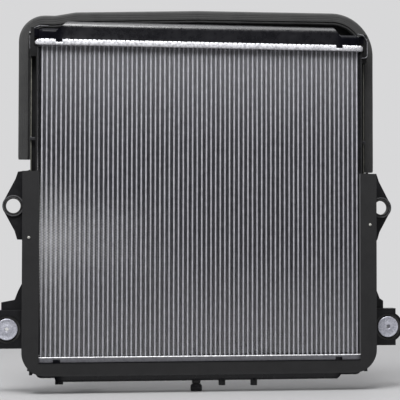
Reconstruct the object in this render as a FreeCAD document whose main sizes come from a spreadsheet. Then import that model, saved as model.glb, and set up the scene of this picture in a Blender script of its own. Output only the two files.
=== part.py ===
"""Down-flow oil cooler: brazed aluminium core, crimped plastic tanks, seals, brackets and drain.

Every piece is drawn about the middle of the core (x across, y front to back, z up, front at -y)
and then placed so that the origin is midway between the two lower mounting holes, on their faces.
"""
import FreeCAD, Part
import os
import re
import Sketcher

Vector = FreeCAD.Vector

SIZES = {
    # core
    "tube_count": 69,
    "tube_pitch": 9.6,
    "tube_width": 2.0,
    "tube_depth": 32,
    "tube_wall": 0.3,
    "tube_reach": 3,
    "core_height": 630,
    "fin_legs": 45,
    "fin_sheet": 0.43,
    "fin_end_gap": 2,
    "side_plate_sheet": 1.5,
    # header plates and their folded edge
    "header_overhang": 6.7,
    "header_half_depth": 26,
    "header_sheet": 1.6,
    "header_height": 12,
    "header_corner": 20,
    "crimp_lip": 3.6,
    "crimp_notch": 3,
    "crimp_root": 6,
    "braze_gap": 0.05,
    "fit_gap": 0.3,
    "gasket_thick": 2,
    # tanks
    "tank_wall": 3,
    "foot_ledge": 3.6,
    "tank_shoulder": 16,
    "tank_end_round": 10,
    "upper_rise": 51,
    "upper_end_rise": 35,
    "upper_left_step": 61.2,
    "upper_left_slope": 28,
    "upper_right_step": 60.2,
    "upper_right_slope": 19,
    "lower_rise": 52,
    "lower_end_rise": 43,
    "lower_left_step": 41.2,
    "lower_left_slope": 8,
    "lower_right_step": 51.2,
    "lower_right_slope": 11,
    "lug_width": 13,
    "lug_rise": 12,
    "end_boss_width": 20,
    "end_boss_height": 16,
    "neck_inset": 111.2,
    "neck_rise": 28.5,
    "neck_radius": 16,
    "neck_wall": 3,
    "neck_length": 46,
    "neck_bead": 2,
    # drain
    "drain_offset": 9,
    "drain_boss_radius": 9,
    "drain_boss_height": 5,
    "drain_shaft_radius": 5,
    "running_gap": 0.05,
    "o_ring_thick": 2,
    "o_ring_width": 3,
    "drain_flange": 3,
    "drain_wing_half": 12,
    "drain_wing_thick": 6,
    "drain_wing_drop": 12,
    "drain_shaft_above": 18,
    "foot_width": 16,
    "peg_radius": 7,
    "peg_y": 8,
    "near_peg_x": 43.3,
    "near_peg_drop": 9.6,
    "far_peg_x": 109.5,
    "far_peg_drop": 10.5,
    # side frames
    "frame_wall": 2.5,
    "channel_width": 8,
    "frame_end_gap": 1.5,
    "frame_front": 13,
    "frame_back": 48,
    "channel_floor": 17,
    "rib_front": 12,
    "floor_thick": 3,
    "flange_reach": 25.5,
    "flange_thick": 3,
    "flange_top": 57,
    "tongue_thick": 6.5,
    "tongue_rise": 37,
    # seals
    "rear_seal_overhang": 24.7,
    "rear_seal_band": 21.4,
    "rear_seal_front": 28,
    "rear_seal_left_rise": 69,
    "rear_seal_ramp_rise": 77,
    "rear_seal_mid_rise": 86.5,
    "rear_seal_right_rise": 89,
    "rear_seal_step": 74.2,
    "rear_seal_ramp": 116.2,
    "rear_seal_left_round": 55,
    "rear_seal_right_round": 90,
    "rear_seal_step_round": 40,
    "rear_seal_left_leg": 86,
    "rear_seal_right_leg": 65,
    "carrier_wall": 2.7,
    "carrier_plate": 2.5,
    "carrier_inset": 4,
    "carrier_width": 34,
    "upper_carrier_screw": 30,
    "lower_carrier_screw": 120,
    "front_seal_overhang": 15.5,
    "front_seal_band": 34,
    "front_seal_cover": 2,
    "front_seal_top": 59,
    "front_seal_drop": 38,
    "front_seal_round": 48,
    "pin_radius": 1.5,
    "pin_head": 4,
    "pin_head_thick": 1.2,
    "left_pin_drop": 75,
    "right_pin_drop": 47,
    "clip_rise": 127,
    "clip_height": 6,
    # brackets, bushes and screws
    "bracket_plate": 3,
    "eye_reach": 33.6,
    "eye_drop": 10.7,
    "eye_radius": 14.5,
    "eye_collar": 22,
    "grommet_wall": 1.9,
    "grommet_lip": 1.2,
    "lug_front": 4,
    "lug_plate": 9,
    "collar_proud": 2,
    "bolt_reach": 44.9,
    "bolt_rise": 55,
    "bolt_hole_radius": 4.2,
    "seat_front": 9.5,
    "sleeve_wall": 2.8,
    "washer_radius": 21.5,
    "washer_thick": 3,
    "bush_radius": 28,
    "bush_collar": 4,
    "block_front": 8,
    "block_depth": 24,
    "block_half_height": 38.5,
    "block_reach": 16.6,
    "left_gusset_reach": 56.5,
    "right_gusset_reach": 37.5,
    "screw_radius": 2.5,
    "screw_head": 4.5,
    "screw_head_thick": 4,
    "screw_y": 23,
    "screw_gap": 0.05,
}

document = FreeCAD.newDocument("Cooler")
sheet = document.addObject("Spreadsheet::Sheet", "Sizes")
for row, (alias, number) in enumerate(SIZES.items(), start=1):
    sheet.set(f"A{row}", alias)
    sheet.set(f"B{row}", str(number))
    sheet.setAlias(f"B{row}", alias)
document.recompute()

WORDS = re.compile(r"\b(" + "|".join(sorted(SIZES, key=len, reverse=True)) + r")\b")
NODES = {}

# sizes that follow from the cells, written once as formulas
CORE_HALF = "(core_height / 2)"
TUBE_SPAN = "((tube_count - 1) * tube_pitch)"
FIN_GAP = "(tube_pitch - tube_width)"
PLATE_IN = f"({TUBE_SPAN} / 2 + tube_width / 2 + {FIN_GAP})"
PLATE_OUT = f"({PLATE_IN} + side_plate_sheet)"
HEADER_HALF = f"({PLATE_IN} + header_overhang)"
GASKET_LOW = f"({CORE_HALF} + header_sheet)"
FOOT_LOW = f"({GASKET_LOW} + gasket_thick)"
LIP_LOW = f"({CORE_HALF} + header_height - header_sheet)"
FOOT_HALF = f"({HEADER_HALF} - header_sheet - fit_gap)"
FOOT_DEPTH = "(header_half_depth - header_sheet - fit_gap)"
FOOT_CORNER = "(header_corner - header_sheet - fit_gap)"
TANK_HALF = f"({FOOT_HALF} - foot_ledge)"
TANK_DEPTH = f"({FOOT_DEPTH} - foot_ledge)"
TANK_CORNER = f"({FOOT_CORNER} - foot_ledge)"
CHANNEL_IN = f"({PLATE_OUT} + frame_wall)"
CHANNEL_OUT = f"({CHANNEL_IN} + channel_width)"
FRAME_OUT = f"({CHANNEL_OUT} + frame_wall)"
FRAME_END = f"({CORE_HALF} - frame_end_gap)"
REAR_HALF = f"({FRAME_OUT} + rear_seal_overhang)"
REAR_STEP = f"({REAR_HALF} - rear_seal_step)"
REAR_RAMP = f"({REAR_HALF} - rear_seal_ramp)"
REAR_LEFT_TOP = f"({CORE_HALF} + rear_seal_left_rise)"
REAR_RAMP_TOP = f"({CORE_HALF} + rear_seal_ramp_rise)"
REAR_MID_TOP = f"({CORE_HALF} + rear_seal_mid_rise)"
REAR_RIGHT_TOP = f"({CORE_HALF} + rear_seal_right_rise)"
FRONT_HALF = f"({FRAME_OUT} + front_seal_overhang)"
FRONT_FACE = "(header_half_depth + front_seal_cover)"
FRONT_LOW = f"(0 - {CORE_HALF} - front_seal_drop)"
SEAL_BACK = "(tube_depth / 2 + 0.4)"
NECK_X = f"({TANK_HALF} - neck_inset)"
STEPS = {
    (level, side): f"({TANK_HALF} - {level}_{side}_step)" for level in ("upper", "lower") for side in ("left", "right")
}
EYE_X = f"({FRAME_OUT} + eye_reach)"
BOLT_X = f"({FRAME_OUT} + bolt_reach)"
BOLT_DROP = f"({CORE_HALF} - bolt_rise)"
BOSS_RISE = f"({CORE_HALF} + 26)"
DRAIN_FACE = f"({CORE_HALF} + lower_rise + drain_boss_height)"
DRAIN_HEAD = f"({DRAIN_FACE} + o_ring_thick)"


def cell(text):
    """The formula with each size written as a cell of the sheet."""
    return WORDS.sub(r"Sizes.\1", str(text))


def value(text):
    """The number that a formula gives now."""
    return float(sheet.evalExpression(cell(text)))


def bind(thing, prop, text):
    """Tie a property to a formula of the sheet's cells."""
    thing.setExpression(prop, cell(text))


def node(name, thing):
    """Name a finished piece and stand it at the core's place in the part."""
    thing.Label = name
    bind(thing, "Placement.Base.y", "seat_front")
    bind(thing, "Placement.Base.z", BOLT_DROP)
    NODES[name] = thing
    return thing


def new_body(name):
    """An empty body that may hold several separate solids."""
    body = document.addObject("PartDesign::Body", name)
    body.AllowCompound = True
    return body


AXES = {"x": "YZ_Plane", "y": "XZ_Plane", "z": "XY_Plane"}


def new_sketch(body, axis, low, high):
    """A sketch square to an axis, at the end from which its feature runs along the plane's normal."""
    sketch = body.newObject("Sketcher::SketchObject", body.Name + "_sketch")
    plane = [item for item in body.Origin.OriginFeatures if item.Role == AXES[axis]][0]
    sketch.AttachmentSupport = [(plane, "")]
    sketch.MapMode = "FlatFace"
    start = f"-({high})" if axis == "y" else low
    bind(sketch, "AttachmentOffset.Base.z", start)
    return sketch


def pin_point(sketch, geometry, position, spot):
    """Hold a point of the sketch at the two formulas of its place."""
    for kind, text in zip(("DistanceX", "DistanceY"), spot):
        rule = Sketcher.Constraint(kind, -1, 1, geometry, position, value(text))
        bind(sketch, f"Constraints[{sketch.addConstraint(rule)}]", text)


def draw_outline(sketch, corners):
    """A closed polygon through corners given as pairs of formulas."""
    spots = [Vector(value(u), value(v), 0) for u, v in corners]
    first = sketch.GeometryCount
    count = len(corners)
    for index, spot in enumerate(spots):
        sketch.addGeometry(Part.LineSegment(spot, spots[(index + 1) % count]))
    for index, corner in enumerate(corners):
        following = first + (index + 1) % count
        sketch.addConstraint(Sketcher.Constraint("Coincident", first + index, 2, following, 1))
        pin_point(sketch, first + index, 1, corner)


def draw_circle(sketch, centre, radius):
    """A circle about a centre given as a pair of formulas."""
    middle = Vector(value(centre[0]), value(centre[1]), 0)
    index = sketch.addGeometry(Part.Circle(middle, Vector(0, 0, 1), value(radius)))
    pin_point(sketch, index, 3, centre)
    rule = Sketcher.Constraint("Radius", index, value(radius))
    bind(sketch, f"Constraints[{sketch.addConstraint(rule)}]", radius)


def box_corners(low_u, high_u, low_v, high_v):
    """The four corners of a rectangle."""
    return [(low_u, low_v), (high_u, low_v), (high_u, high_v), (low_u, high_v)]


def draw(sketch, shape):
    """Draw one shape: a circle as (centre, radius), or else a polygon."""
    if len(shape) == 2 and isinstance(shape[0], tuple) and isinstance(shape[1], str):
        draw_circle(sketch, *shape)
    else:
        draw_outline(sketch, shape)


def add(body, axis, shapes, low, high):
    """Pad shapes along an axis from low to high."""
    sketch = new_sketch(body, axis, low, high)
    for shape in shapes:
        draw(sketch, shape)
    pad = body.newObject("PartDesign::Pad", body.Name + "_pad")
    pad.Profile = sketch
    bind(pad, "Length", f"({high}) - ({low})")
    body.Tip = pad
    return pad


def cut(body, axis, shapes, low, high):
    """Pocket shapes along an axis from low to high, and make sure that it took something away."""
    document.recompute()
    before = body.Shape.Volume
    sketch = new_sketch(body, axis, low, high)
    for shape in shapes:
        draw(sketch, shape)
    pocket = body.newObject("PartDesign::Pocket", body.Name + "_pocket")
    pocket.Profile = sketch
    pocket.Reversed = True
    bind(pocket, "Length", f"({high}) - ({low})")
    body.Tip = pocket
    document.recompute()
    if not body.Shape.Volume < before:
        raise RuntimeError(f"a pocket of {body.Name} cuts nothing")
    return pocket


def revolve(body, corners):
    """Turn a profile of (radius, height) corners about the body's own z axis."""
    sketch = new_sketch(body, "y", "0", "0")
    draw_outline(sketch, corners)
    turn = body.newObject("PartDesign::Revolution", body.Name + "_turn")
    turn.Profile = sketch
    turn.ReferenceAxis = (sketch, ["V_Axis"])
    turn.Angle = 360
    body.Tip = turn
    return turn


def round_edges(body, radius, chosen):
    """Fillet the edges of the body for which chosen(edge) is true."""
    document.recompute()
    feature = body.Tip
    names = [f"Edge{n}" for n, edge in enumerate(feature.Shape.Edges, start=1) if chosen(edge)]
    if not names:
        raise RuntimeError(f"no edge of {body.Name} to round")
    fillet = body.newObject("PartDesign::Fillet", body.Name + "_fillet")
    fillet.Base = (feature, names)
    bind(fillet, "Radius", radius)
    body.Tip = fillet
    return fillet


def runs_along(edge, axis):
    """Whether an edge is a straight one along an axis."""
    if edge.Curve.TypeId != "Part::GeomLine":
        return False
    direction = edge.Vertexes[-1].Point - edge.Vertexes[0].Point
    return abs(getattr(direction, axis)) > 0.999 * direction.Length


def near(edge, **spot):
    """Whether the middle of an edge is at the given coordinates."""
    middle = edge.CenterOfMass
    return all(abs(getattr(middle, axis) - value(text)) < 0.01 for axis, text in spot.items())


def fuse(name, members):
    """Join placed shapes into one."""
    joined = document.addObject("Part::MultiFuse", name)
    joined.Shapes = members
    joined.Refine = True
    return joined


def subtract(name, base, tool):
    """Take one shape from another."""
    rest = document.addObject("Part::Cut", name)
    rest.Base = base
    rest.Tool = tool
    rest.Refine = True
    return rest


def cylinder(name, centre, radius, length, direction):
    """A cylinder from a centre along +x, +y, -y, +z or -z."""
    shape = document.addObject("Part::Cylinder", name)
    bind(shape, "Radius", radius)
    bind(shape, "Height", length)
    shape.Placement.Rotation = FreeCAD.Rotation(Vector(0, 0, 1), direction)
    for axis, text in zip("xyz", centre):
        bind(shape, f"Placement.Base.{axis}", text)
    return shape


def block(name, x, y, z):
    """A box between pairs of formulas."""
    shape = document.addObject("Part::Box", name)
    for prop, axis, (low, high) in zip(("Length", "Width", "Height"), "xyz", (x, y, z)):
        bind(shape, prop, f"({high}) - ({low})")
        bind(shape, f"Placement.Base.{axis}", low)
    return shape


def left_twin(name, source):
    """The same piece on the left side, mirrored after the right one is placed."""
    twin = document.addObject("Part::Mirroring", name)
    twin.Source = source
    twin.Normal = Vector(1, 0, 0)
    NODES[name] = twin
    return twin


# --- core -----------------------------------------------------------------------------------

def repeat(body, feature, axis_name, step, count):
    """Repeat a feature in a row."""
    document.recompute()
    row_of = body.newObject("PartDesign::LinearPattern", body.Name + "_row")
    row_of.Originals = [feature]
    row_of.Direction = ([item for item in body.Origin.OriginFeatures if item.Role == axis_name][0], [""])
    row_of.Mode = "Spacing"
    bind(row_of, "Offset", step)
    bind(row_of, "Occurrences", count)
    body.Tip = row_of
    return row_of


def make_tubes():
    """Flat tubes with a passage inside, side by side across the core."""
    body = new_body("tubes_body")
    left = f"(0 - {TUBE_SPAN} / 2 - tube_width / 2)"
    outer = box_corners(left, f"{left} + tube_width", "0 - tube_depth / 2", "tube_depth / 2")
    inner = box_corners(
        f"{left} + tube_wall",
        f"{left} + tube_width - tube_wall",
        "tube_wall - tube_depth / 2",
        "tube_depth / 2 - tube_wall",
    )
    end = f"({GASKET_LOW} + tube_reach)"
    tube = add(body, "z", [outer, inner], f"0 - {end}", end)
    repeat(body, tube, "X_Axis", "tube_pitch", "tube_count")
    node("tubes", body)


def fin_strip(gap, legs, sheet_thick, height, depth):
    """One folded strip: a zigzag of sheet whose folds are flattened where they meet the tubes."""
    leg = height / legs
    slope = leg / gap
    along = sheet_thick * (1 + slope * slope) ** 0.5
    near_side = []
    far_side = []
    for fold in range(legs + 1):
        level = fold * leg - height / 2
        inside = gap - along / slope / 2
        if fold % 2 == 0:
            near_side += [(0, level - along / 2), (0, level + along / 2)]
            far_side += [(gap - inside, level)]
        else:
            near_side += [(inside, level)]
            far_side += [(gap, level - along / 2), (gap, level + along / 2)]
    points = [Vector(x, -depth / 2, z) for x, z in near_side + far_side[::-1]]
    wire = Part.makePolygon(points + [points[0]])
    return Part.Face(wire).extrude(Vector(0, depth, 0))


def make_fins():
    """A folded fin in every gap between tubes, and one outside each end tube."""
    gap = value(FIN_GAP)
    pitch = value("tube_pitch")
    count = int(value("tube_count")) + 1
    height = value("core_height - 2 * fin_end_gap")
    strip = fin_strip(gap, int(value("fin_legs")), value("fin_sheet"), height, value("tube_depth"))
    strips = []
    for index in range(count):
        copy = strip.copy()
        copy.translate(Vector(index * pitch - value(PLATE_IN), 0, 0))
        strips.append(copy)
    fins = document.addObject("Part::Feature", "fins_shape")
    fins.Shape = Part.makeCompound(strips)
    node("fins", fins)


def make_side_plates():
    """A flat plate brazed to the outer fins on each side."""
    body = new_body("side_plate_body")
    plate = box_corners(PLATE_IN, PLATE_OUT, "0 - tube_depth / 2", "tube_depth / 2")
    add(body, "z", [plate], f"0 - {CORE_HALF}", CORE_HALF)
    node("side_plate_right", body)
    left_twin("side_plate_left", body)


# --- headers --------------------------------------------------------------------------------

def corner_edges(edge):
    """Upright edges."""
    return runs_along(edge, "z")


def rounded_slab(name, half_length, half_depth, corner, low, high):
    """A slab with rounded upright corners, centred on the core."""
    body = new_body(name)
    outline = box_corners(f"0 - {half_length}", half_length, f"0 - {half_depth}", half_depth)
    add(body, "z", [outline], low, high)
    round_edges(body, corner, corner_edges)
    return body


def comb(name, half_length, half_depth):
    """The row of notches that divides the folded edge into tabs, as one tool."""
    body = new_body(name)
    count = "(tube_count + 1)"
    left = f"(0 - ({count} - 1) * tube_pitch / 2 - crimp_notch / 2)"
    slot = box_corners(left, f"{left} + crimp_notch", f"0 - {half_depth} - 1", f"{half_depth} + 1")
    notch = add(body, "z", [slot], f"{CORE_HALF} + crimp_root", f"{CORE_HALF} + header_height + 1")
    repeat(body, notch, "X_Axis", "tube_pitch", count)
    return body


def slots(name):
    """The row of openings for the tubes, as one tool."""
    body = new_body(name)
    left = f"(0 - {TUBE_SPAN} / 2 - tube_width / 2 - braze_gap)"
    reach = "(tube_depth / 2 + braze_gap)"
    opening = box_corners(left, f"{left} + tube_width + 2 * braze_gap", f"0 - {reach}", reach)
    slot = add(body, "z", [opening], f"{CORE_HALF} - 1", f"{GASKET_LOW} + 1")
    repeat(body, slot, "X_Axis", "tube_pitch", "tube_count")
    return body


def header_solid(name, front, lug_centres):
    """A pan with a slotted floor, whose upright edge is folded in over the tank's foot as tabs."""
    top = f"({CORE_HALF} + header_height)"
    pan = rounded_slab(f"{name}_pan", HEADER_HALF, "header_half_depth", "header_corner", CORE_HALF, top)
    hollow = rounded_slab(
        f"{name}_hollow",
        f"({HEADER_HALF} - header_sheet)",
        "(header_half_depth - header_sheet)",
        "(header_corner - header_sheet)",
        GASKET_LOW,
        LIP_LOW,
    )
    mouth = rounded_slab(
        f"{name}_mouth",
        f"({HEADER_HALF} - header_sheet - crimp_lip)",
        "(header_half_depth - header_sheet - crimp_lip)",
        "(header_corner - header_sheet - crimp_lip)",
        LIP_LOW,
        f"{top} + 1",
    )
    tools = [hollow, mouth, comb(f"{name}_comb", HEADER_HALF, "header_half_depth"), slots(f"{name}_slots")]
    tools += lug_blocks(f"{name}_lug", front, lug_centres, "fit_gap")
    return subtract(f"{name}_cut", pan, fuse(f"{name}_tools", tools))


def lug_blocks(name, front, centres, gap):
    """The tank's front lugs, or with a gap the notches that take them."""
    reach = ("0 - header_half_depth", f"0 - {TANK_DEPTH}")
    if front > 0:
        reach = (f"{TANK_DEPTH}", "header_half_depth")
    blocks = []
    for index, centre in enumerate(centres):
        blocks.append(block(
            f"{name}_{index}",
            (f"{centre} - lug_width / 2 - {gap}", f"{centre} + lug_width / 2 + {gap}"),
            (f"{reach[0]} - {gap}", f"{reach[1]} + {gap}"),
            (f"{CORE_HALF} + crimp_root - {gap}", f"{CORE_HALF} + lug_rise"),
        ))
    return blocks


LUGS = {
    "upper": (f"(0 - {STEPS['upper', 'left']} - 18)", f"({STEPS['upper', 'right']} + 11)"),
    "lower": (f"(0 - {STEPS['lower', 'left']})", STEPS["lower", "right"]),
}
TURN_OVER = FreeCAD.Rotation(Vector(1, 0, 0), 180)


def make_headers():
    """The upper header, and the lower one turned over."""
    node("upper_header", header_solid("upper_header", -1, LUGS["upper"]))
    lower = header_solid("lower_header", 1, LUGS["lower"])
    lower.Placement.Rotation = TURN_OVER
    node("lower_header", lower)


def make_gaskets():
    """A flat rubber ring under each tank's foot."""
    for level in ("upper", "lower"):
        ring = rounded_slab(f"{level}_ring", FOOT_HALF, FOOT_DEPTH, FOOT_CORNER, GASKET_LOW, FOOT_LOW)
        hole = rounded_slab(
            f"{level}_ring_hole",
            f"({TANK_HALF} - tank_wall)",
            f"({TANK_DEPTH} - tank_wall)",
            f"({TANK_CORNER} - tank_wall)",
            GASKET_LOW,
            FOOT_LOW,
        )
        gasket = subtract(f"{level}_gasket_cut", ring, hole)
        if level == "lower":
            gasket.Placement.Rotation = TURN_OVER
        node(f"{level}_tank_gasket", gasket)


# --- tanks ----------------------------------------------------------------------------------

def tank_ends(name, level, inset):
    """The low part of a tank along its whole length, with its upper edges rounded."""
    top = f"({CORE_HALF} + {level}_end_rise - {inset})"
    body = rounded_slab(
        name, f"({TANK_HALF} - {inset})", f"({TANK_DEPTH} - {inset})", f"({TANK_CORNER} - {inset})", FOOT_LOW, top
    )
    round_edges(body, f"tank_end_round - {inset}", lambda edge: near(edge, z=top))
    return body


def tank_middle(name, level, inset):
    """The high part of a tank between its two sloped steps, with round shoulders."""
    top = f"({CORE_HALF} + {level}_rise - {inset})"
    left = f"({inset} - {STEPS[level, 'left']})"
    right = f"({STEPS[level, 'right']} - {inset})"
    left_foot = f"({left} - {level}_left_slope)"
    right_foot = f"({right} + {level}_right_slope)"
    step = f"({CORE_HALF} + {level}_end_rise - tank_end_round)"
    body = new_body(name)
    depth = f"({TANK_DEPTH} - {inset})"
    add(body, "x", [box_corners(f"0 - {depth}", depth, FOOT_LOW, top)], left_foot, right_foot)
    round_edges(body, f"tank_shoulder - {inset}", lambda edge: runs_along(edge, "x") and near(edge, z=top))
    slopes = [
        [(f"{left_foot} - 1", step), (left_foot, step), (left, top), (left, f"{top} + 1"),
         (f"{left_foot} - 1", f"{top} + 1")],
        [(f"{right_foot} + 1", step), (right_foot, step), (right, top), (right, f"{top} + 1"),
         (f"{right_foot} + 1", f"{top} + 1")],
    ]
    cut(body, "y", slopes, f"0 - {depth} - 1", f"{depth} + 1")
    return body


def hose_neck(name, centre, front):
    """A round hose neck on the back of the tank, with a bead near its end."""
    body = new_body(name)
    root = f"({TANK_DEPTH} - tank_wall - 1)"
    reach = f"({TANK_DEPTH} + neck_length)"
    revolve(body, [
        ("0", root),
        ("neck_radius", root),
        ("neck_radius", f"{reach} - 9"),
        ("neck_radius + neck_bead", f"{reach} - 7"),
        ("neck_radius + neck_bead", f"{reach} - 5"),
        ("neck_radius - 0.5", f"{reach} - 1"),
        ("neck_radius - 1.5", reach),
        ("0", reach),
    ])
    body.Placement.Rotation = FreeCAD.Rotation(Vector(0, 0, 1), Vector(0, -front, 0))
    bind(body, "Placement.Base.x", centre)
    bind(body, "Placement.Base.z", f"{CORE_HALF} + neck_rise")
    return body


def tank_solid(name, level, front, neck_centre, extra, extra_holes):
    """A moulded tank: a foot inside the header, two heights of trough, a neck, end bosses and lugs."""
    skin = [
        tank_ends(f"{name}_ends", level, "0"),
        tank_middle(f"{name}_middle", level, "0"),
        rounded_slab(f"{name}_foot", FOOT_HALF, FOOT_DEPTH, FOOT_CORNER, FOOT_LOW, f"{LIP_LOW} - fit_gap"),
        hose_neck(f"{name}_neck", neck_centre, front),
    ]
    skin += lug_blocks(f"{name}_lug", front, LUGS[level], "0")
    boss_depth = ("0 - end_boss_width / 2", "end_boss_width / 2")
    boss_height = (f"{BOSS_RISE} - end_boss_height / 2", f"{BOSS_RISE} + end_boss_height / 2")
    tongue = f"({FRAME_OUT} - tongue_thick)"
    skin.append(block(f"{name}_boss_right", (f"{TANK_HALF} - 1", tongue), boss_depth, boss_height))
    skin.append(block(f"{name}_boss_left", (f"0 - {tongue}", f"1 - {TANK_HALF}"), boss_depth, boss_height))
    trough = rounded_slab(
        f"{name}_trough",
        f"({TANK_HALF} - tank_wall)",
        f"({TANK_DEPTH} - tank_wall)",
        f"({TANK_CORNER} - tank_wall)",
        f"{FOOT_LOW} - 1",
        f"{FOOT_LOW} + 1",
    )
    bore_start = f"{-front} * ({TANK_DEPTH} - tank_wall - 1)"
    hollow = [
        trough,
        tank_ends(f"{name}_ends_hollow", level, "tank_wall"),
        tank_middle(f"{name}_middle_hollow", level, "tank_wall"),
        cylinder(
            f"{name}_neck_bore",
            (neck_centre, bore_start, f"{CORE_HALF} + neck_rise"),
            "neck_radius - neck_wall",
            "neck_length + tank_wall + 2",
            Vector(0, -front, 0),
        ),
    ]
    for side in (-1, 1):
        start = f"{side} * ({TANK_HALF} + 1)"
        hollow.append(cylinder(
            f"{name}_screw_bore_{side + 1}",
            (start, "0", BOSS_RISE),
            "screw_radius + screw_gap",
            "20",
            Vector(side, 0, 0),
        ))
    return subtract(f"{name}_cut", fuse(f"{name}_skin", skin + extra), fuse(f"{name}_hollow", hollow + extra_holes))


def make_tanks():
    """The upper tank with its inlet neck, and the lower one with outlet, drain boss, foot and pegs."""
    node("upper_tank", tank_solid("upper_tank", "upper", -1, NECK_X, [], []))
    bottom = f"({CORE_HALF} + lower_rise)"
    foot_low = f"({CORE_HALF} + lower_end_rise - tank_end_round)"
    extra = [
        cylinder(
            "drain_boss",
            ("0 - drain_offset", "0", f"{bottom} - tank_wall"),
            "drain_boss_radius",
            "tank_wall + drain_boss_height",
            Vector(0, 0, 1),
        ),
        block(
            "foot_rib",
            (f"0 - {STEPS['lower', 'left']} - 2", f"foot_width - {STEPS['lower', 'left']} - 2"),
            ("0 - 4", "4"),
            (foot_low, f"{bottom} + 5"),
        ),
    ]
    for peg in ("near_peg", "far_peg"):
        extra.append(cylinder(
            peg,
            (f"{peg}_x", "peg_y", f"{bottom} - tank_wall"),
            "peg_radius",
            f"tank_wall + {peg}_drop",
            Vector(0, 0, 1),
        ))
    bore = cylinder(
        "drain_bore",
        ("0 - drain_offset", "0", f"{bottom} - tank_wall - 1"),
        "drain_shaft_radius + running_gap",
        "tank_wall + drain_boss_height + 2",
        Vector(0, 0, 1),
    )
    lower = tank_solid("lower_tank", "lower", 1, f"(0 - {NECK_X})", extra, [bore])
    lower.Placement.Rotation = TURN_OVER
    node("lower_tank", lower)


def make_drain():
    """A screw plug with a winged head, and the ring that seals it against the boss."""
    centre = ("0 - drain_offset", "0")
    head = f"(0 - {DRAIN_HEAD})"
    low = f"({head} - drain_flange - drain_wing_drop)"
    plug = new_body("drain_plug_body")
    add(plug, "z", [(centre, "drain_shaft_radius")], head, f"{head} + drain_shaft_above")
    add(plug, "z", [(centre, "drain_boss_radius + 1")], f"{head} - drain_flange", head)
    wing = box_corners(
        "0 - drain_offset - drain_wing_half",
        "drain_wing_half - drain_offset",
        "0 - drain_wing_thick / 2",
        "drain_wing_thick / 2",
    )
    add(plug, "z", [wing], low, f"{head} - drain_flange")
    round_edges(plug, "drain_wing_thick / 3", lambda edge: runs_along(edge, "x") and near(edge, z=low))
    node("drain_plug", plug)

    ring = new_body("drain_o_ring_body")
    inner = "drain_shaft_radius + running_gap"
    shapes = [(centre, f"{inner} + o_ring_width"), (centre, inner)]
    add(ring, "z", shapes, f"{head} + running_gap", f"{head} + o_ring_thick - running_gap")
    node("drain_o_ring", ring)


# --- side frames ----------------------------------------------------------------------------

def make_side_frames():
    """A moulded channel on each side: an air wall, a rib, a front flange below and tongues to the tanks."""
    frame = new_body("frame_body")
    front = "0 - frame_front"
    top = FRAME_END
    low = f"0 - {FRAME_END}"
    rear_floor = "frame_back - floor_thick"
    tongue_in = f"{FRAME_OUT} - tongue_thick"
    tongue_top = f"{CORE_HALF} + tongue_rise"
    block_low = f"{FRAME_END} - 20"
    add(frame, "z", [box_corners(PLATE_OUT, CHANNEL_IN, front, "frame_back")], low, top)
    add(frame, "z", [box_corners(CHANNEL_OUT, FRAME_OUT, "rib_front", "frame_back")], low, top)
    add(frame, "z", [
        box_corners(CHANNEL_IN, CHANNEL_OUT, "channel_floor", "channel_floor + floor_thick"),
        box_corners(CHANNEL_IN, CHANNEL_OUT, rear_floor, "frame_back"),
    ], low, top)
    flange_out = f"{PLATE_OUT} + flange_reach"
    flange = box_corners(PLATE_OUT, flange_out, f"{front} - flange_thick", front)
    add(frame, "z", [flange], low, "flange_top")
    add(frame, "z", [box_corners(CHANNEL_OUT, FRAME_OUT, front, "rib_front")], low, "flange_top")
    tongue = box_corners(tongue_in, FRAME_OUT, "0 - end_boss_width / 2", "channel_floor")
    add(frame, "z", [tongue], block_low, tongue_top)
    add(frame, "z", [tongue], f"0 - ({tongue_top})", f"0 - ({block_low})")
    corner = box_corners(CHANNEL_IN, tongue_in, "0 - end_boss_width / 2", "channel_floor")
    add(frame, "z", [corner], block_low, top)
    ends = [(("0", BOSS_RISE), "screw_radius + screw_gap"), (("0", f"0 - {BOSS_RISE}"), "screw_radius + screw_gap")]
    cut(frame, "x", ends, f"{tongue_in} - 1", f"{FRAME_OUT} + 1")
    sides = [
        (("screw_y", spot), "screw_radius + screw_gap")
        for spot in bracket_screw_heights()
    ]
    cut(frame, "x", sides, f"{CHANNEL_OUT} - 1", f"{FRAME_OUT} + 1")
    carrier_x = f"({CHANNEL_IN} + channel_width / 2)"
    rear = [((carrier_x, spot), "screw_radius + screw_gap") for spot in CARRIER_SCREWS]
    cut(frame, "y", rear, f"{rear_floor} - 1", "frame_back + 1")
    pins = [((f"{FRAME_OUT} + 2", spot), "pin_radius + screw_gap") for spot in PIN_HEIGHTS]
    cut(frame, "y", pins, f"{front} - flange_thick - 1", f"{front} + 1")
    node("side_frame_right", frame)
    left_twin("side_frame_left", frame)


CARRIER_SCREWS = (f"{CORE_HALF} - upper_carrier_screw", "lower_carrier_screw")
PIN_HEIGHTS = ("0 - right_pin_drop", "0 - left_pin_drop")


def bracket_screw_heights():
    """The heights of the screws that hold the brackets to the side frames."""
    return (
        "0 - eye_drop + 52",
        "0 - eye_drop - 56",
        f"70 - {BOLT_DROP}",
        f"0 - {BOLT_DROP} - 34",
    )


def make_frame_clips():
    """A small bar across each channel that ties the rib to the air wall."""
    body = new_body("clips_body")
    z_low = "clip_rise - clip_height / 2"
    right = box_corners(CHANNEL_IN, f"{FRAME_OUT} + 1.5", "rib_front - 4", "rib_front")
    left = box_corners(f"0 - {FRAME_OUT} - 1.5", f"0 - {CHANNEL_IN}", "rib_front - 4", "rib_front")
    add(body, "z", [right, left], z_low, f"{z_low} + clip_height")
    node("frame_clips", body)


# --- seals ----------------------------------------------------------------------------------

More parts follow.
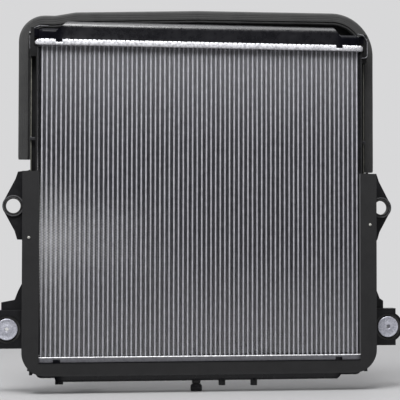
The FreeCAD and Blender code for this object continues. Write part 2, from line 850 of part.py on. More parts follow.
def arch(near_offset, far_offset):
    """An arched band between two offsets inward from the rear seal's outer edge."""
    def chain(offset):
        return [
            (f"{offset} - {REAR_HALF}", "rear_seal_left_leg"),
            (f"{offset} - {REAR_HALF}", f"{REAR_LEFT_TOP} - {offset}"),
            (f"0 - {REAR_STEP}", f"{REAR_LEFT_TOP} - {offset}"),
            (f"0 - {REAR_RAMP}", f"{REAR_RAMP_TOP} - {offset}"),
            ("0", f"{REAR_MID_TOP} - {offset}"),
            (f"{REAR_HALF} - {offset}", f"{REAR_RIGHT_TOP} - {offset}"),
            (f"{REAR_HALF} - {offset}", "rear_seal_right_leg"),
        ]
    return chain(near_offset) + chain(far_offset)[::-1]


def round_arch(body, offsets):
    """Round the bends of an arched band, each edge about the same centre."""
    for offset in offsets:
        left = f"({offset}) - {REAR_HALF}"
        right = f"{REAR_HALF} - ({offset})"
        bends = [
            (left, f"{REAR_LEFT_TOP} - ({offset})", f"rear_seal_left_round - ({offset})"),
            (right, f"{REAR_RIGHT_TOP} - ({offset})", f"rear_seal_right_round - ({offset})"),
            (f"0 - {REAR_STEP}", f"{REAR_LEFT_TOP} - ({offset})", "rear_seal_step_round"),
            (f"0 - {REAR_RAMP}", f"{REAR_RAMP_TOP} - ({offset})", "rear_seal_step_round"),
        ]
        for x, z, radius in bends:
            round_edges(body, radius, lambda edge: runs_along(edge, "y") and near(edge, x=x, z=z))


def make_rear_seal():
    """The soft arch behind the upper tank, and the moulded frame that carries it."""
    seal = new_body("upper_seal_body")
    add(seal, "y", [arch("0", "rear_seal_band")], "rear_seal_front", "frame_back")
    round_arch(seal, ("0", "rear_seal_band"))
    node("upper_seal", seal)

    rim_out = "(rear_seal_band + fit_gap)"
    rim_in = f"({rim_out} + carrier_wall)"
    plate_in = "(carrier_inset + carrier_width)"
    rim = new_body("carrier_rim")
    add(rim, "y", [arch(rim_out, rim_in)], "rear_seal_front", "frame_back + carrier_plate / 2")
    round_arch(rim, (rim_out, rim_in))
    plate = new_body("carrier_plate_body")
    add(plate, "y", [arch("carrier_inset", plate_in)], "frame_back", "frame_back + carrier_plate")
    round_arch(plate, ("carrier_inset", plate_in))
    carrier_x = f"({CHANNEL_IN} + channel_width / 2)"
    holes = []
    for side in (-1, 1):
        for number, spot in enumerate(CARRIER_SCREWS):
            holes.append(cylinder(
                f"carrier_hole_{side + 1}_{number}",
                (f"{side} * {carrier_x}", "frame_back - 1", spot),
                "screw_radius + screw_gap",
                "carrier_plate + 2",
                Vector(0, 1, 0),
            ))
    carrier = subtract("carrier_cut", fuse("carrier_skin", [rim, plate]), fuse("carrier_holes", holes))
    node("seal_carrier", carrier)


def make_front_seal():
    """The flat soft U in front of the lower half, cut away behind to clear header and tank."""
    seal = new_body("lower_seal_body")
    outer = FRONT_HALF
    inner = f"({FRONT_HALF} - front_seal_band)"
    top = "front_seal_top"
    low = FRONT_LOW
    inside_low = f"0 - ({CORE_HALF} + header_height + fit_gap)"
    outline = [
        (f"0 - {outer}", top), (f"0 - {outer}", low), (outer, low), (outer, top),
        (inner, top), (inner, inside_low), (f"0 - {inner}", inside_low), (f"0 - {inner}", top),
    ]
    add(seal, "y", [outline], f"0 - {FRONT_FACE}", f"0 - {SEAL_BACK}")
    round_edges(seal, "front_seal_round", lambda edge: runs_along(edge, "y") and (
        near(edge, x=outer, z=low) or near(edge, x=f"0 - {outer}", z=low)))
    behind_header = box_corners(
        f"0 - {HEADER_HALF} - fit_gap", f"{HEADER_HALF} + fit_gap", f"{inside_low} - 1", f"0 - {CORE_HALF} + fit_gap")
    cut(seal, "y", [behind_header], "0 - header_half_depth - 2 * fit_gap", f"0 - {SEAL_BACK} + 1")
    behind_tank = box_corners(
        f"0 - {TANK_HALF} - 1", f"{TANK_HALF} + 1", f"{FRONT_LOW} - 1", f"{inside_low} + 1")
    cut(seal, "y", [behind_tank], f"0 - {TANK_DEPTH}", f"0 - {SEAL_BACK} + 1")
    pins = [((f"{FRAME_OUT} + 2", PIN_HEIGHTS[0]), "pin_radius + screw_gap"),
            ((f"0 - {FRAME_OUT} - 2", PIN_HEIGHTS[1]), "pin_radius + screw_gap")]
    cut(seal, "y", pins, f"0 - {FRONT_FACE} - 1", f"1 - {SEAL_BACK}")
    node("lower_seal", seal)

    pins_body = new_body("pins_body")
    heads = [(spot, "pin_head") for spot, radius in pins]
    shanks = [(spot, "pin_radius") for spot, radius in pins]
    add(pins_body, "y", heads, f"0 - {FRONT_FACE} - pin_head_thick", f"0 - {FRONT_FACE}")
    add(pins_body, "y", shanks, f"0 - {FRONT_FACE} - 0.1", "2 - frame_front")
    node("seal_pins", pins_body)


# --- brackets -------------------------------------------------------------------------------

def screw_holes(body, heights, low, high):
    """Clearance holes for the screws that run across into the side frame."""
    holes = [(("screw_y", spot), "screw_radius + screw_gap") for spot in heights]
    cut(body, "x", holes, low, high)


def make_mid_brackets():
    """A lug with a round eye on each side, and the rubber grommet in the eye."""
    lug = new_body("mid_bracket_body")
    eye = (EYE_X, "0 - eye_drop")
    plate_out = f"{FRAME_OUT} + bracket_plate"
    high = "62"
    low = "0 - 80"
    heights = bracket_screw_heights()[:2]
    outline = [
        (FRAME_OUT, high), (f"{EYE_X} - 9", "59"), (f"{EYE_X} - 4", "44"), (f"{EYE_X} + 19", "0"),
        (f"{EYE_X} + 19", "0 - 2 * eye_drop"), (f"{EYE_X} - 3", "0 - 62"), (f"{EYE_X} - 8", "0 - 79"), (FRAME_OUT, low),
    ]
    add(lug, "y", [outline], "lug_front", "lug_front + lug_plate")
    add(lug, "y", [(eye, "eye_collar")], "lug_front - collar_proud", "lug_front + lug_plate + collar_proud")
    base = [(FRAME_OUT, low), (plate_out, low), (plate_out, high), (FRAME_OUT, high)]
    add(lug, "y", [base], "0 - block_front", "rear_seal_front - 0.5")
    bore = "(eye_radius + grommet_wall + screw_gap)"
    cut(lug, "y", [(eye, bore)], "lug_front - collar_proud - 1", "lug_front + lug_plate + collar_proud + 1")
    screw_holes(lug, heights, f"{FRAME_OUT} - 1", f"{plate_out} + 1")
    node("mid_bracket_right", lug)
    left_twin("mid_bracket_left", lug)

    for side, x in (("left", f"0 - {EYE_X}"), ("right", EYE_X)):
        ring = new_body(f"mid_grommet_{side}_body")
        centre = (x, "0 - eye_drop")
        front = "(lug_front - collar_proud)"
        back = "(lug_front + lug_plate + collar_proud)"
        outer = "eye_radius + grommet_wall"
        add(ring, "y", [(centre, outer), (centre, "eye_radius")], f"{front} - grommet_lip", f"{back} + grommet_lip")
        lip = [(centre, f"{outer} + grommet_lip"), (centre, "eye_radius + 0.5")]
        add(ring, "y", lip, f"{front} - grommet_lip", front)
        add(ring, "y", lip, back, f"{back} + grommet_lip")
        node(f"mid_grommet_{side}", ring)


def make_lower_brackets():
    """A block with a round collar on each side, its rubber bush, and the bolt sleeve with its washer."""
    plate_out = f"{FRAME_OUT} + bracket_plate"
    high = f"95 - {BOLT_DROP}"
    low = f"0 - {BOLT_DROP} - 45"
    front = "0 - block_front"
    back = "block_depth - block_front"
    heights = bracket_screw_heights()[2:]
    for side, sign, reach in (("left", -1, "left_gusset_reach"), ("right", 1, "right_gusset_reach")):
        body = new_body(f"lower_bracket_{side}_body")

        def across(x):
            return f"{sign} * ({x})"

        centre = (across(BOLT_X), f"0 - {BOLT_DROP}")
        top = f"block_half_height - {BOLT_DROP}"
        outer = across(f"{BOLT_X} + block_reach")
        add(body, "y", [box_corners(across(FRAME_OUT), outer, f"0 - {BOLT_DROP} - block_half_height", top)], front, back)
        add(body, "y", [(centre, "bush_radius + bush_collar")], front, back)
        gusset = [
            (across(FRAME_OUT), high), (across(f"{FRAME_OUT} + 14"), high), (across(f"{FRAME_OUT} + 23"), f"{high} - 18"),
            (across(f"{FRAME_OUT} + 30"), f"{high} - 36"),
            (across(f"{FRAME_OUT} + {reach}"), f"{high} - 41"), (across(f"{FRAME_OUT} + {reach}"), f"{top} - 1"), (across(FRAME_OUT), f"{top} - 1"),
        ]
        add(body, "y", [gusset], "2", "9")
        add(body, "y", [box_corners(across(FRAME_OUT), across(plate_out), low, high)],
            "0.2 - frame_front", "rear_seal_front - 0.5")
        cut(body, "y", [(centre, "bush_radius")], f"{front} - 1", f"{back} + 1")
        base = (f"{FRAME_OUT} - 1", f"{plate_out} + 1")
        ends = base if sign > 0 else (f"0 - ({base[1]})", f"0 - ({base[0]})")
        screw_holes(body, heights, *ends)
        node(f"lower_bracket_{side}", body)

        seat = "(0 - seat_front)"
        washer_back = f"({seat} + washer_thick)"
        sleeve_out = "(bolt_hole_radius + sleeve_wall)"
        sleeve = new_body(f"lower_sleeve_{side}_body")
        hole = (centre, "bolt_hole_radius")
        add(sleeve, "y", [(centre, "washer_radius"), hole], seat, washer_back)
        add(sleeve, "y", [(centre, sleeve_out), hole], washer_back, f"{back} + 2")
        node(f"lower_sleeve_{side}", sleeve)
        bush = new_body(f"lower_bush_{side}_body")
        rings = [(centre, "bush_radius - screw_gap"), (centre, f"{sleeve_out} + screw_gap")]
        add(bush, "y", rings, washer_back, back)
        node(f"lower_bush_{side}", bush)


def screw(name, start, side, shank):
    """A screw pointing inward across the part, its head against the face at start."""
    head = cylinder(f"{name}_head", start, "screw_head", "screw_head_thick", side)
    body = cylinder(f"{name}_shank", start, "screw_radius", shank, side * -1)
    return fuse(f"{name}_screw", [head, body])


def compound(name, members):
    """Separate solids kept in one node."""
    group = document.addObject("Part::Compound", name)
    group.Links = members
    return group


def make_screws():
    """Screws through the brackets, through the frames' tongues, and through the seal carrier."""
    for label, out, depth, y, heights in (
        ("bracket_screws", f"{FRAME_OUT} + bracket_plate", "bracket_plate + frame_wall + 1", "screw_y",
         bracket_screw_heights()),
        ("frame_screws", FRAME_OUT, "tongue_thick + 4", "0", (BOSS_RISE, f"0 - {BOSS_RISE}")),
    ):
        screws = []
        for side in (-1, 1):
            for number, spot in enumerate(heights):
                start = (f"{side} * ({out})", y, spot)
                screws.append(screw(f"{label}_{side + 1}_{number}", start, Vector(side, 0, 0), depth))
        node(label, compound(f"{label}_group", screws))
    screws = []
    for side in (-1, 1):
        for number, spot in enumerate(CARRIER_SCREWS):
            start = (f"{side} * ({CHANNEL_IN} + channel_width / 2)", "frame_back + carrier_plate", spot)
            screws.append(screw(f"carrier_{side + 1}_{number}", start, Vector(0, 1, 0), "carrier_plate + floor_thick + 2"))
    node("carrier_screws", compound("carrier_screws_group", screws))


# --- build, check and write -----------------------------------------------------------------

def check_document():
    """Stop if any object failed or any piece's shape is missing or broken."""
    for item in document.Objects:
        if "Invalid" in item.State or "Error" in item.State:
            raise RuntimeError(f"{item.Name} failed: {item.State}")
    for name, thing in NODES.items():
        if thing.Shape.isNull() or not thing.Shape.isValid() or not thing.Shape.Solids:
            raise RuntimeError(f"{name} has no sound shape")


def main():
    """Build every piece, check it and write it."""
    for build in (
        make_tubes, make_fins, make_side_plates, make_headers, make_gaskets, make_tanks, make_drain,
        make_side_frames, make_frame_clips, make_rear_seal, make_front_seal, make_mid_brackets,
        make_lower_brackets, make_screws,
    ):
        build()
    document.recompute()
    check_document()
    os.makedirs("parts", exist_ok=True)
    for name, thing in NODES.items():
        thing.Shape.exportStep(f"parts/{name}.step")
        print(name, len(thing.Shape.Solids), round(thing.Shape.Volume))


main()
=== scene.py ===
"""Studio model of a finned oil cooler. Each sub-assembly is a class that builds and dresses its pieces."""
import logging
import math
from dataclasses import dataclass, field
from enum import Enum
from typing import Any, Callable, Iterable, Sequence

import bmesh
import bpy
import numpy as np
from mathutils import Matrix, Vector


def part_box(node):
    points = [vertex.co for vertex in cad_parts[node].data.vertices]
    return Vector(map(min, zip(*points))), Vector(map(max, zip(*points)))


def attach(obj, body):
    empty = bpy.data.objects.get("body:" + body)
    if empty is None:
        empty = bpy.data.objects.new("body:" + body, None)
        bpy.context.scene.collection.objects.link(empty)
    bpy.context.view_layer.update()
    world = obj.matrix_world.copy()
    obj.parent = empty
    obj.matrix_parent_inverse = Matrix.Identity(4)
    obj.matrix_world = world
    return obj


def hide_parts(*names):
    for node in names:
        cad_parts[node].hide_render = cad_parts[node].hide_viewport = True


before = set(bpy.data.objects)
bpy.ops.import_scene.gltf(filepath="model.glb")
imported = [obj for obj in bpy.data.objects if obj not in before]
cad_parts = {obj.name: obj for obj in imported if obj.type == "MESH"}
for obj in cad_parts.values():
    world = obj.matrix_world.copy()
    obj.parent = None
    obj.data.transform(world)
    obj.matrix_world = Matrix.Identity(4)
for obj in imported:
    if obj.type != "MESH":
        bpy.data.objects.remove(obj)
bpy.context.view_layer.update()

LOG = logging.getLogger("cooler")
MM = 0.001
RANDOM_SEED = 7
SIDES = (("left", -1), ("right", 1))
Array = np.ndarray


class Body(Enum):
    """The bodies that pieces ride on."""

    COOLER = "cooler"
    RING = "drain_ring"
    PLUG = "drain_plug"


class Slot(Enum):
    """The record's material slots."""

    CORE = "braze_aluminium"
    HEADER = "header_aluminium"
    PLASTIC = "black_nylon"
    FOAM = "foam_rubber"
    RUBBER = "black_rubber"
    STEEL = "zinc_steel"


# --- finishes ---------------------------------------------------------------------------------


def linear(code: str) -> tuple[float, float, float, float]:
    """Turn an sRGB hex colour to linear values.

    Args:
        code: six hex digits after a hash.

    Returns:
        Red, green, blue and alpha.
    """
    parts = [int(code[i : i + 2], 16) / 255 for i in (1, 3, 5)]
    flat = [p / 12.92 if p <= 0.04045 else ((p + 0.055) / 1.055) ** 2.4 for p in parts]
    return (flat[0], flat[1], flat[2], 1.0)


def feed(tree: Any, node: Any, inputs: dict[Any, Any]) -> None:
    """Fill or link a node's inputs.

    Args:
        tree: the node tree.
        node: the node.
        inputs: socket name or index to a value, or to an output socket to link.
    """
    for key, value in inputs.items():
        if isinstance(value, bpy.types.NodeSocket):
            tree.links.new(value, node.inputs[key])
        else:
            node.inputs[key].default_value = value


def add_node(tree: Any, kind: str, inputs: dict[Any, Any] | None = None, **settings: Any) -> Any:
    """Add a shader node, set its properties, and fill or link its inputs.

    Args:
        tree: the node tree.
        kind: the node's type name.
        inputs: socket name or index to a value, or to an output socket to link.
        settings: properties of the node.

    Returns:
        The node.
    """
    made = tree.nodes.new(kind)
    for key, value in settings.items():
        setattr(made, key, value)
    feed(tree, made, inputs or {})
    return made


class Recipe:
    """A material in the making, with the nodes that finishes share. Sizes are in millimetres."""

    def __init__(self, name: str) -> None:
        """Start the material with its shader and its Object coordinates."""
        self.material = bpy.data.materials.new(name)
        self.material.use_nodes = True
        self.tree = self.material.node_tree
        self.shader = self.tree.nodes["Principled BSDF"]
        self.place = add_node(self.tree, "ShaderNodeTexCoord").outputs["Object"]

    def noise(self, size: float, detail: float = 2.0, roughness: float = 0.5, place: Any = None) -> Any:
        """Clouds of about the given size."""
        return add_node(self.tree, "ShaderNodeTexNoise", {
            "Vector": self.place if place is None else place, "Scale": 1 / (size * MM), "Detail": detail,
            "Roughness": roughness}).outputs["Fac"]

    def cells(self, size: float, **settings: Any) -> Any:
        """The distance from the middles, or edges, of cells of about the given size."""
        return add_node(self.tree, "ShaderNodeTexVoronoi", {
            "Vector": self.place, "Scale": 1 / (size * MM)}, **settings).outputs["Distance"]

    def span(self, value: Any, low: float, high: float, start: float = 0.0, stop: float = 1.0,
             smooth: bool = False) -> Any:
        """Take a value from the range low to high over to the range start to stop."""
        return add_node(self.tree, "ShaderNodeMapRange", {
            "Value": value, "From Min": low, "From Max": high, "To Min": start, "To Max": stop},
            interpolation_type="SMOOTHSTEP" if smooth else "LINEAR").outputs["Result"]

    def maths(self, operation: str, *values: Any) -> Any:
        """Join values by a named operation."""
        node = add_node(self.tree, "ShaderNodeMath", dict(enumerate(values)), operation=operation)
        return node.outputs["Value"]

    def part(self, vector: Any, letter: str) -> Any:
        """One coordinate of a vector."""
        return add_node(self.tree, "ShaderNodeSeparateXYZ", {0: vector}).outputs[letter]

    def ramp(self, value: Any, low: float, dark: str, high: float, light: str) -> Any:
        """A colour that goes from dark at low to light at high."""
        node = add_node(self.tree, "ShaderNodeValToRGB", {"Fac": value})
        for element, place, code in zip(node.color_ramp.elements, (low, high), (dark, light)):
            element.position = place
            element.color = linear(code)
        return node.outputs["Color"]

    def cover(self, share: Any, colour: Any, code: str) -> Any:
        """Lay a second colour over the first by its share."""
        return add_node(self.tree, "ShaderNodeMix", {
            0: share, 6: colour, 7: linear(code)}, data_type="RGBA").outputs[2]

    def relief(self, height: Any, strength: float, depth: float) -> Any:
        """The normal of a surface raised by a height."""
        return add_node(self.tree, "ShaderNodeBump", {
            "Height": height, "Strength": strength, "Distance": depth * MM}).outputs["Normal"]

    def finish(self, colour: Any, roughness: Any, normal: Any, more: dict[str, Any] | None = None) -> Any:
        """Feed the shader and hand the material over."""
        feed(self.tree, self.shader, {
            "Base Color": colour, "Roughness": roughness, "Normal": normal, **(more or {})})
        return self.material


@dataclass(frozen=True)
class Finish:
    """A material's name and the two colours that it moves between."""

    name: str
    dark: str
    light: str


@dataclass(frozen=True)
class BrazedAluminium(Finish):
    """Rolled aluminium after the brazing oven: dull, mottled a little by flux, with fine drawn lines."""

    roughness: float = 0.5
    metallic: float = 0.85
    mottle_mm: float = 9.0
    line_mm: float = 0.6
    bump: float = 0.25
    # a paler colour painted towards both headers as painted light, with its middle height and the distances
    # over which it comes in
    painted_light: str = ""
    painted_light_middle: float = 0.27
    painted_light_from: float = 0.07
    painted_light_to: float = 0.36

    def make(self) -> Any:
        """Build the material."""
        mix = Recipe(self.name)
        mottle = mix.noise(self.mottle_mm, 5.0, 0.62)
        # drawn marks: noise stretched along z
        drawn = add_node(mix.tree, "ShaderNodeMapping", {"Vector": mix.place, "Scale": (1.0, 1.0, 0.04)})
        lines = mix.noise(self.line_mm, 3.0, place=drawn.outputs[0])
        colour = mix.ramp(mottle, 0.32, self.dark, 0.68, self.light)
        if self.painted_light:
            # painted light: the fins are painted paler towards both headers, where the core looks more lit
            away = mix.maths("ABSOLUTE", mix.maths("SUBTRACT", mix.part(mix.place, "Z"), self.painted_light_middle))
            colour = mix.cover(mix.span(away, self.painted_light_from, self.painted_light_to, smooth=True), colour, self.painted_light)
        dullness = mix.span(mottle, 0.0, 1.0, self.roughness + 0.14, self.roughness - 0.1)
        return mix.finish(colour, dullness, mix.relief(lines, self.bump, 0.1), {"Metallic": self.metallic})


@dataclass(frozen=True)
class CrimpedHeader(Finish):
    """Pressed header sheet: orange-peel grain and bruises from the crimping jaws that sparkle."""

    grain_mm: float = 1.6
    dent_mm: float = 5.0
    roughness: float = 0.36
    metallic: float = 0.6
    bump: float = 0.75

    def make(self) -> Any:
        """Build the material."""
        mix = Recipe(self.name)
        grain = mix.cells(self.grain_mm)
        dents = mix.noise(self.dent_mm, 4.0, 0.7)
        colour = mix.ramp(dents, 0.3, self.dark, 0.58, self.light)
        dullness = mix.span(grain, 0.0, 1.0, self.roughness - 0.1, self.roughness + 0.22)
        relief = mix.relief(mix.maths("MULTIPLY", grain, dents), self.bump, 0.5)
        return mix.finish(colour, dullness, relief, {"Metallic": self.metallic})


@dataclass(frozen=True)
class MouldedNylon(Finish):
    """Glass-filled nylon from a spark-eroded mould: near-black, satin, with fibre bloom and scuffs."""

    roughness: float = 0.42
    grain_mm: float = 0.7
    bloom_mm: float = 24.0
    scuff_mm: float = 3.5
    bump: float = 0.3
    shine: float = 0.3
    dull_beyond: float = 0.0

    def make(self) -> Any:
        """Build the material."""
        mix = Recipe(self.name)
        bloom = mix.noise(self.bloom_mm, 6.0, 0.65)
        scratch = mix.span(mix.cells(self.scuff_mm, feature="DISTANCE_TO_EDGE"), 0.0, 0.06, 0.1, 0.0)
        spread = mix.span(bloom, 0.3, 0.7, self.roughness - 0.07, self.roughness + 0.1)
        shine: Any = self.shine
        if self.dull_beyond:
            # the ends stay dull where the mould was blasted
            side = mix.maths("ABSOLUTE", mix.part(mix.place, "X"))
            shine = mix.span(side, self.dull_beyond, self.dull_beyond + 0.02, self.shine, 0.04, smooth=True)
        return mix.finish(
            mix.ramp(bloom, 0.35, self.dark, 0.75, self.light), mix.maths("ADD", spread, scratch),
            mix.relief(mix.noise(self.grain_mm), self.bump, 0.12), {"IOR": 1.53, "Specular IOR Level": shine})


@dataclass(frozen=True)
class CellFoam(Finish):
    """Closed-cell rubber foam: soft dark grey, quite matt, with open pores where it was cut."""

    pore_mm: float = 1.3
    cloud_mm: float = 30.0
    bump: float = 0.55
    # a paler colour painted where the face turns over its edges, a painted highlight
    edge: str = ""

    def make(self) -> Any:
        """Build the material."""
        mix = Recipe(self.name)
        pores = mix.span(mix.cells(self.pore_mm), 0.05, 0.45)
        clouds = mix.noise(self.cloud_mm, 7.0, 0.7)
        colour = mix.ramp(mix.maths("MULTIPLY", clouds, pores), 0.1, self.dark, 0.55, self.light)
        if self.edge:
            # painted highlight: the skin is painted paler where it turns over the edge, where the light
            # catches it
            facing = add_node(mix.tree, "ShaderNodeTexCoord").outputs["Normal"]
            colour = mix.cover(mix.span(mix.part(facing, "Y"), -0.97, -0.7), colour, self.edge)
        return mix.finish(
            colour, mix.span(clouds, 0.0, 1.0, 0.78, 0.98), mix.relief(pores, self.bump, 0.3),
            {"Specular IOR Level": 0.2, "Sheen Weight": 0.04, "Sheen Roughness": 0.6})


@dataclass(frozen=True)
class MouldedRubber(Finish):
    """Black press-moulded rubber: satin skin with a chalky bloom in patches."""

    bloom_mm: float = 8.0
    grain_mm: float = 0.5

    def make(self) -> Any:
        """Build the material."""
        mix = Recipe(self.name)
        bloom = mix.noise(self.bloom_mm, 5.0, 0.7)
        return mix.finish(
            mix.ramp(bloom, 0.35, self.dark, 0.8, self.light), mix.span(bloom, 0.0, 1.0, 0.55, 0.8),
            mix.relief(mix.noise(self.grain_mm), 0.3, 0.1))


@dataclass(frozen=True)
class ZincPlate(Finish):
    """Zinc-plated steel: pale grey, cloudy, with a soft crystalline sheen and faint handling marks."""

    roughness: float = 0.38
    metallic: float = 0.9
    cloud_mm: float = 6.0
    crystal_mm: float = 1.1

    def make(self) -> Any:
        """Build the material."""
        mix = Recipe(self.name)
        clouds = mix.noise(self.cloud_mm, 6.0, 0.7)
        return mix.finish(
            mix.ramp(clouds, 0.3, self.dark, 0.7, self.light),
            mix.span(clouds, 0.0, 1.0, self.roughness - 0.08, self.roughness + 0.2),
            mix.relief(mix.cells(self.crystal_mm), 0.25, 0.08), {"Metallic": self.metallic})


class Finishes:
    """Every material of the cooler, made once."""

    def __init__(self) -> None:
        """Make the materials."""
        self.tube = BrazedAluminium(
            "brazed_tube_aluminium", "#97979D", "#B4B4BA", metallic=0.35, roughness=0.55).make()
        # the fin foil is painted paler towards both headers, a painted light
        self.fin = BrazedAluminium(
            "folded_fin_foil", "#606067", "#7E7E86", metallic=0.3, roughness=0.6, line_mm=0.9,
            painted_light="#B6B6BA").make()
        # a darker copy of the fin foil for the outermost strips: painted shade
        self.outer_fin = BrazedAluminium(
            "shaded_fin_foil", "#2C2C2F", "#434348", metallic=0.3, roughness=0.7, line_mm=0.9).make()
        # the bare aluminium side plates are painted near black: painted shade of the recess they sit in
        self.side_plate = BrazedAluminium(
            "shade_darkened_side_plate", "#121214", "#232326", roughness=0.7, metallic=0.2).make()
        self.header = CrimpedHeader(
            "pressed_header_aluminium", "#8E8E94", "#DCDCE0", metallic=0.4, bump=0.9).make()
        # the lower header is a darker copy of the header sheet: painted shade
        self.low_header = CrimpedHeader(
            "shade_darkened_header_aluminium", "#57575C", "#6C6C71", roughness=0.5, bump=0.35).make()
        # a brighter header finish for the lower header's bead: painted highlight on its rounded edge
        self.bead = CrimpedHeader(
            "highlight_painted_header_edge", "#A6A6AA", "#DEDEE0", grain_mm=2.4, bump=0.6, metallic=0.25).make()
        self.tank = MouldedNylon(
            "glass_filled_nylon_tank", "#06060A", "#0C0C11", roughness=0.27, shine=0.38,
            dull_beyond=0.275).make()
        self.frame = MouldedNylon(
            "moulded_nylon_frame", "#0B0B0C", "#131315", roughness=0.45, shine=0.2).make()
        # a lighter nylon for the corner rims: painted highlight
        self.rim = MouldedNylon(
            "highlight_painted_nylon_rim", "#4C4C50", "#8A8A8E", roughness=0.35, bloom_mm=9.0).make()
        # a lighter nylon for the rib edge beads: painted highlight
        self.edge = MouldedNylon(
            "highlight_painted_nylon_edge", "#56564F", "#77776F", roughness=0.5, bloom_mm=6.0).make()
        self.carrier = MouldedNylon("moulded_nylon_carrier", "#1A1A1B", "#262626", roughness=0.5).make()
        self.bracket = MouldedNylon("moulded_nylon_bracket", "#0B0B0D", "#151518", shine=0.22).make()
        # a lighter nylon for the lug rings: painted highlight
        self.boss = MouldedNylon("highlight_painted_nylon_boss", "#2C2C2D", "#4E4E50", roughness=0.5, bloom_mm=7.0).make()
        self.plug = MouldedNylon("drain_plug_nylon", "#1C1C20", "#2C2C30", roughness=0.4).make()
        self.rear_foam = CellFoam("cell_foam_arch", "#272728", "#373737").make()
        # the front foam's edge colour is a painted highlight along its rounded edges
        self.front_foam = CellFoam(
            "cell_foam_front", "#171718", "#232324", pore_mm=1.0, edge="#3E3E40").make()
        self.rubber = MouldedRubber("moulded_rubber", "#151515", "#2C2B2A").make()
        self.washer = ZincPlate(
            "zinc_plated_washer", "#8A8B97", "#CDCED7", metallic=0.45, cloud_mm=4.0).make()
        self.screw = ZincPlate("zinc_plated_screw", "#8E8C84", "#B9B7AE").make()
        self.dark_screw = ZincPlate("black_oxide_screw", "#1D1D1E", "#343434", metallic=0.5).make()
        self.clip = ZincPlate("blued_spring_steel_clip", "#232325", "#3E3E41", metallic=0.5).make()
        self.pin = ZincPlate("pale_nylon_pin", "#7E7E7A", "#A6A6A0", metallic=0.0, roughness=0.5).make()


# --- surfaces ---------------------------------------------------------------------------------


def box_mm(node: str) -> tuple[Array, Array]:
    """The low and high corners of a CAD node, in millimetres."""
    low, high = (np.array(corner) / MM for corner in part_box(node))
    return low, high


def add_object(name: str, data: Any) -> Any:
    """Put a mesh, light or camera into the scene."""
    made = bpy.data.objects.new(name, data)
    bpy.context.scene.collection.objects.link(made)
    return made


def triple(a: Array, b: Array, c: Array) -> float:
    """The sum of the triple products of rows of points."""
    return float(np.einsum("ij,ij->", a, np.cross(b, c)))


def wall_quads(index: Array, closed: bool) -> Array:
    """The quads between neighbouring rings of points, from the points' numbers by station and around."""
    ahead = np.roll(index, -1, axis=1)
    if closed:
        corners = [index, np.roll(index, -1, axis=0), np.roll(ahead, -1, axis=0), ahead]
    else:
        corners = [index[:-1], index[1:], ahead[1:], ahead[:-1]]
    return np.stack(corners, axis=-1).reshape(-1, 4)


class Shells:
    """Closed shells gathered into one mesh; each is a stack of rings of points."""

    def __init__(self) -> None:
        """Start with nothing."""
        self.points: list[Array] = []
        self.quads: list[Array] = []
        self.caps: list[list[int]] = []
        self.count = 0

    def add(self, rings: Array, closed: bool = False) -> None:
        """Add a shell: neighbouring rings are joined by quads, and open ends are capped.

        Args:
            rings: points by station, around each ring, and axis, in metres.
            closed: whether the last ring joins the first.
        """
        stations, around = rings.shape[:2]
        index = np.arange(stations * around).reshape(stations, around)
        quads = wall_quads(index, closed)
        caps = [] if closed else [index[0], index[-1][::-1]]
        flat = rings.reshape(-1, 3)
        # six times the enclosed volume: the sum of each triangle's triple product with the middle
        base = flat - flat.mean(axis=0)
        a, b, c, d = (base[quads[:, k]] for k in range(4))
        volume = triple(a, b, c) + triple(a, c, d)
        for cap in caps:
            rim = base[cap]
            middle = np.broadcast_to(rim.mean(axis=0), rim.shape)
            volume += triple(middle, rim, np.roll(rim, -1, axis=0))
        if volume < 0:
            quads = quads[:, ::-1]
            caps = [cap[::-1] for cap in caps]
        self.points.append(flat)
        self.quads.append(quads + self.count)
        self.caps += [(cap + self.count).tolist() for cap in caps]
        self.count += len(flat)

    def build(self, name: str, sharp_degrees: float = 35.0) -> Any:
        """Make the object.

        Args:
            name: the piece's name.
            sharp_degrees: edges that turn by more than this stay sharp.

        Returns:
            The object, at the origin.
        """
        mesh = bpy.data.meshes.new(name)
        faces = np.concatenate(self.quads).tolist() + self.caps
        mesh.from_pydata(np.concatenate(self.points).tolist(), [], faces)
        mesh.shade_smooth()
        mesh.set_sharp_from_angle(angle=math.radians(sharp_degrees))
        mesh.update()
        return add_object(name, mesh)


def shaped(name: str, stacks: Iterable[Array], closed: bool = False, sharp_degrees: float = 35.0) -> Any:
    """Make one piece of shells that are all open or all closed.

    Args:
        name: the piece's name.
        stacks: the rings of each shell.
        closed: whether each shell's last ring joins its first.
        sharp_degrees: edges that turn by more than this stay sharp.

    Returns:
        The object.
    """
    shells = Shells()
    for rings in stacks:
        shells.add(rings, closed)
    return shells.build(name, sharp_degrees)


def dress(piece: Any, material: Any, nodes: Sequence[str] = (), body: Body = Body.COOLER) -> Any:
    """Give a piece its material and body, and hide the CAD nodes that it stands for.

    Args:
        piece: the object.
        material: its material.
        nodes: the CAD nodes that it replaces.
        body: the body it rides on.

    Returns:
        The piece.
    """
    piece.data.materials.clear()
    piece.data.materials.append(material)
    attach(piece, body.value)
    if nodes:
        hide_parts(*nodes)
    LOG.info("%s rides on %s", piece.name, body.value)
    return piece


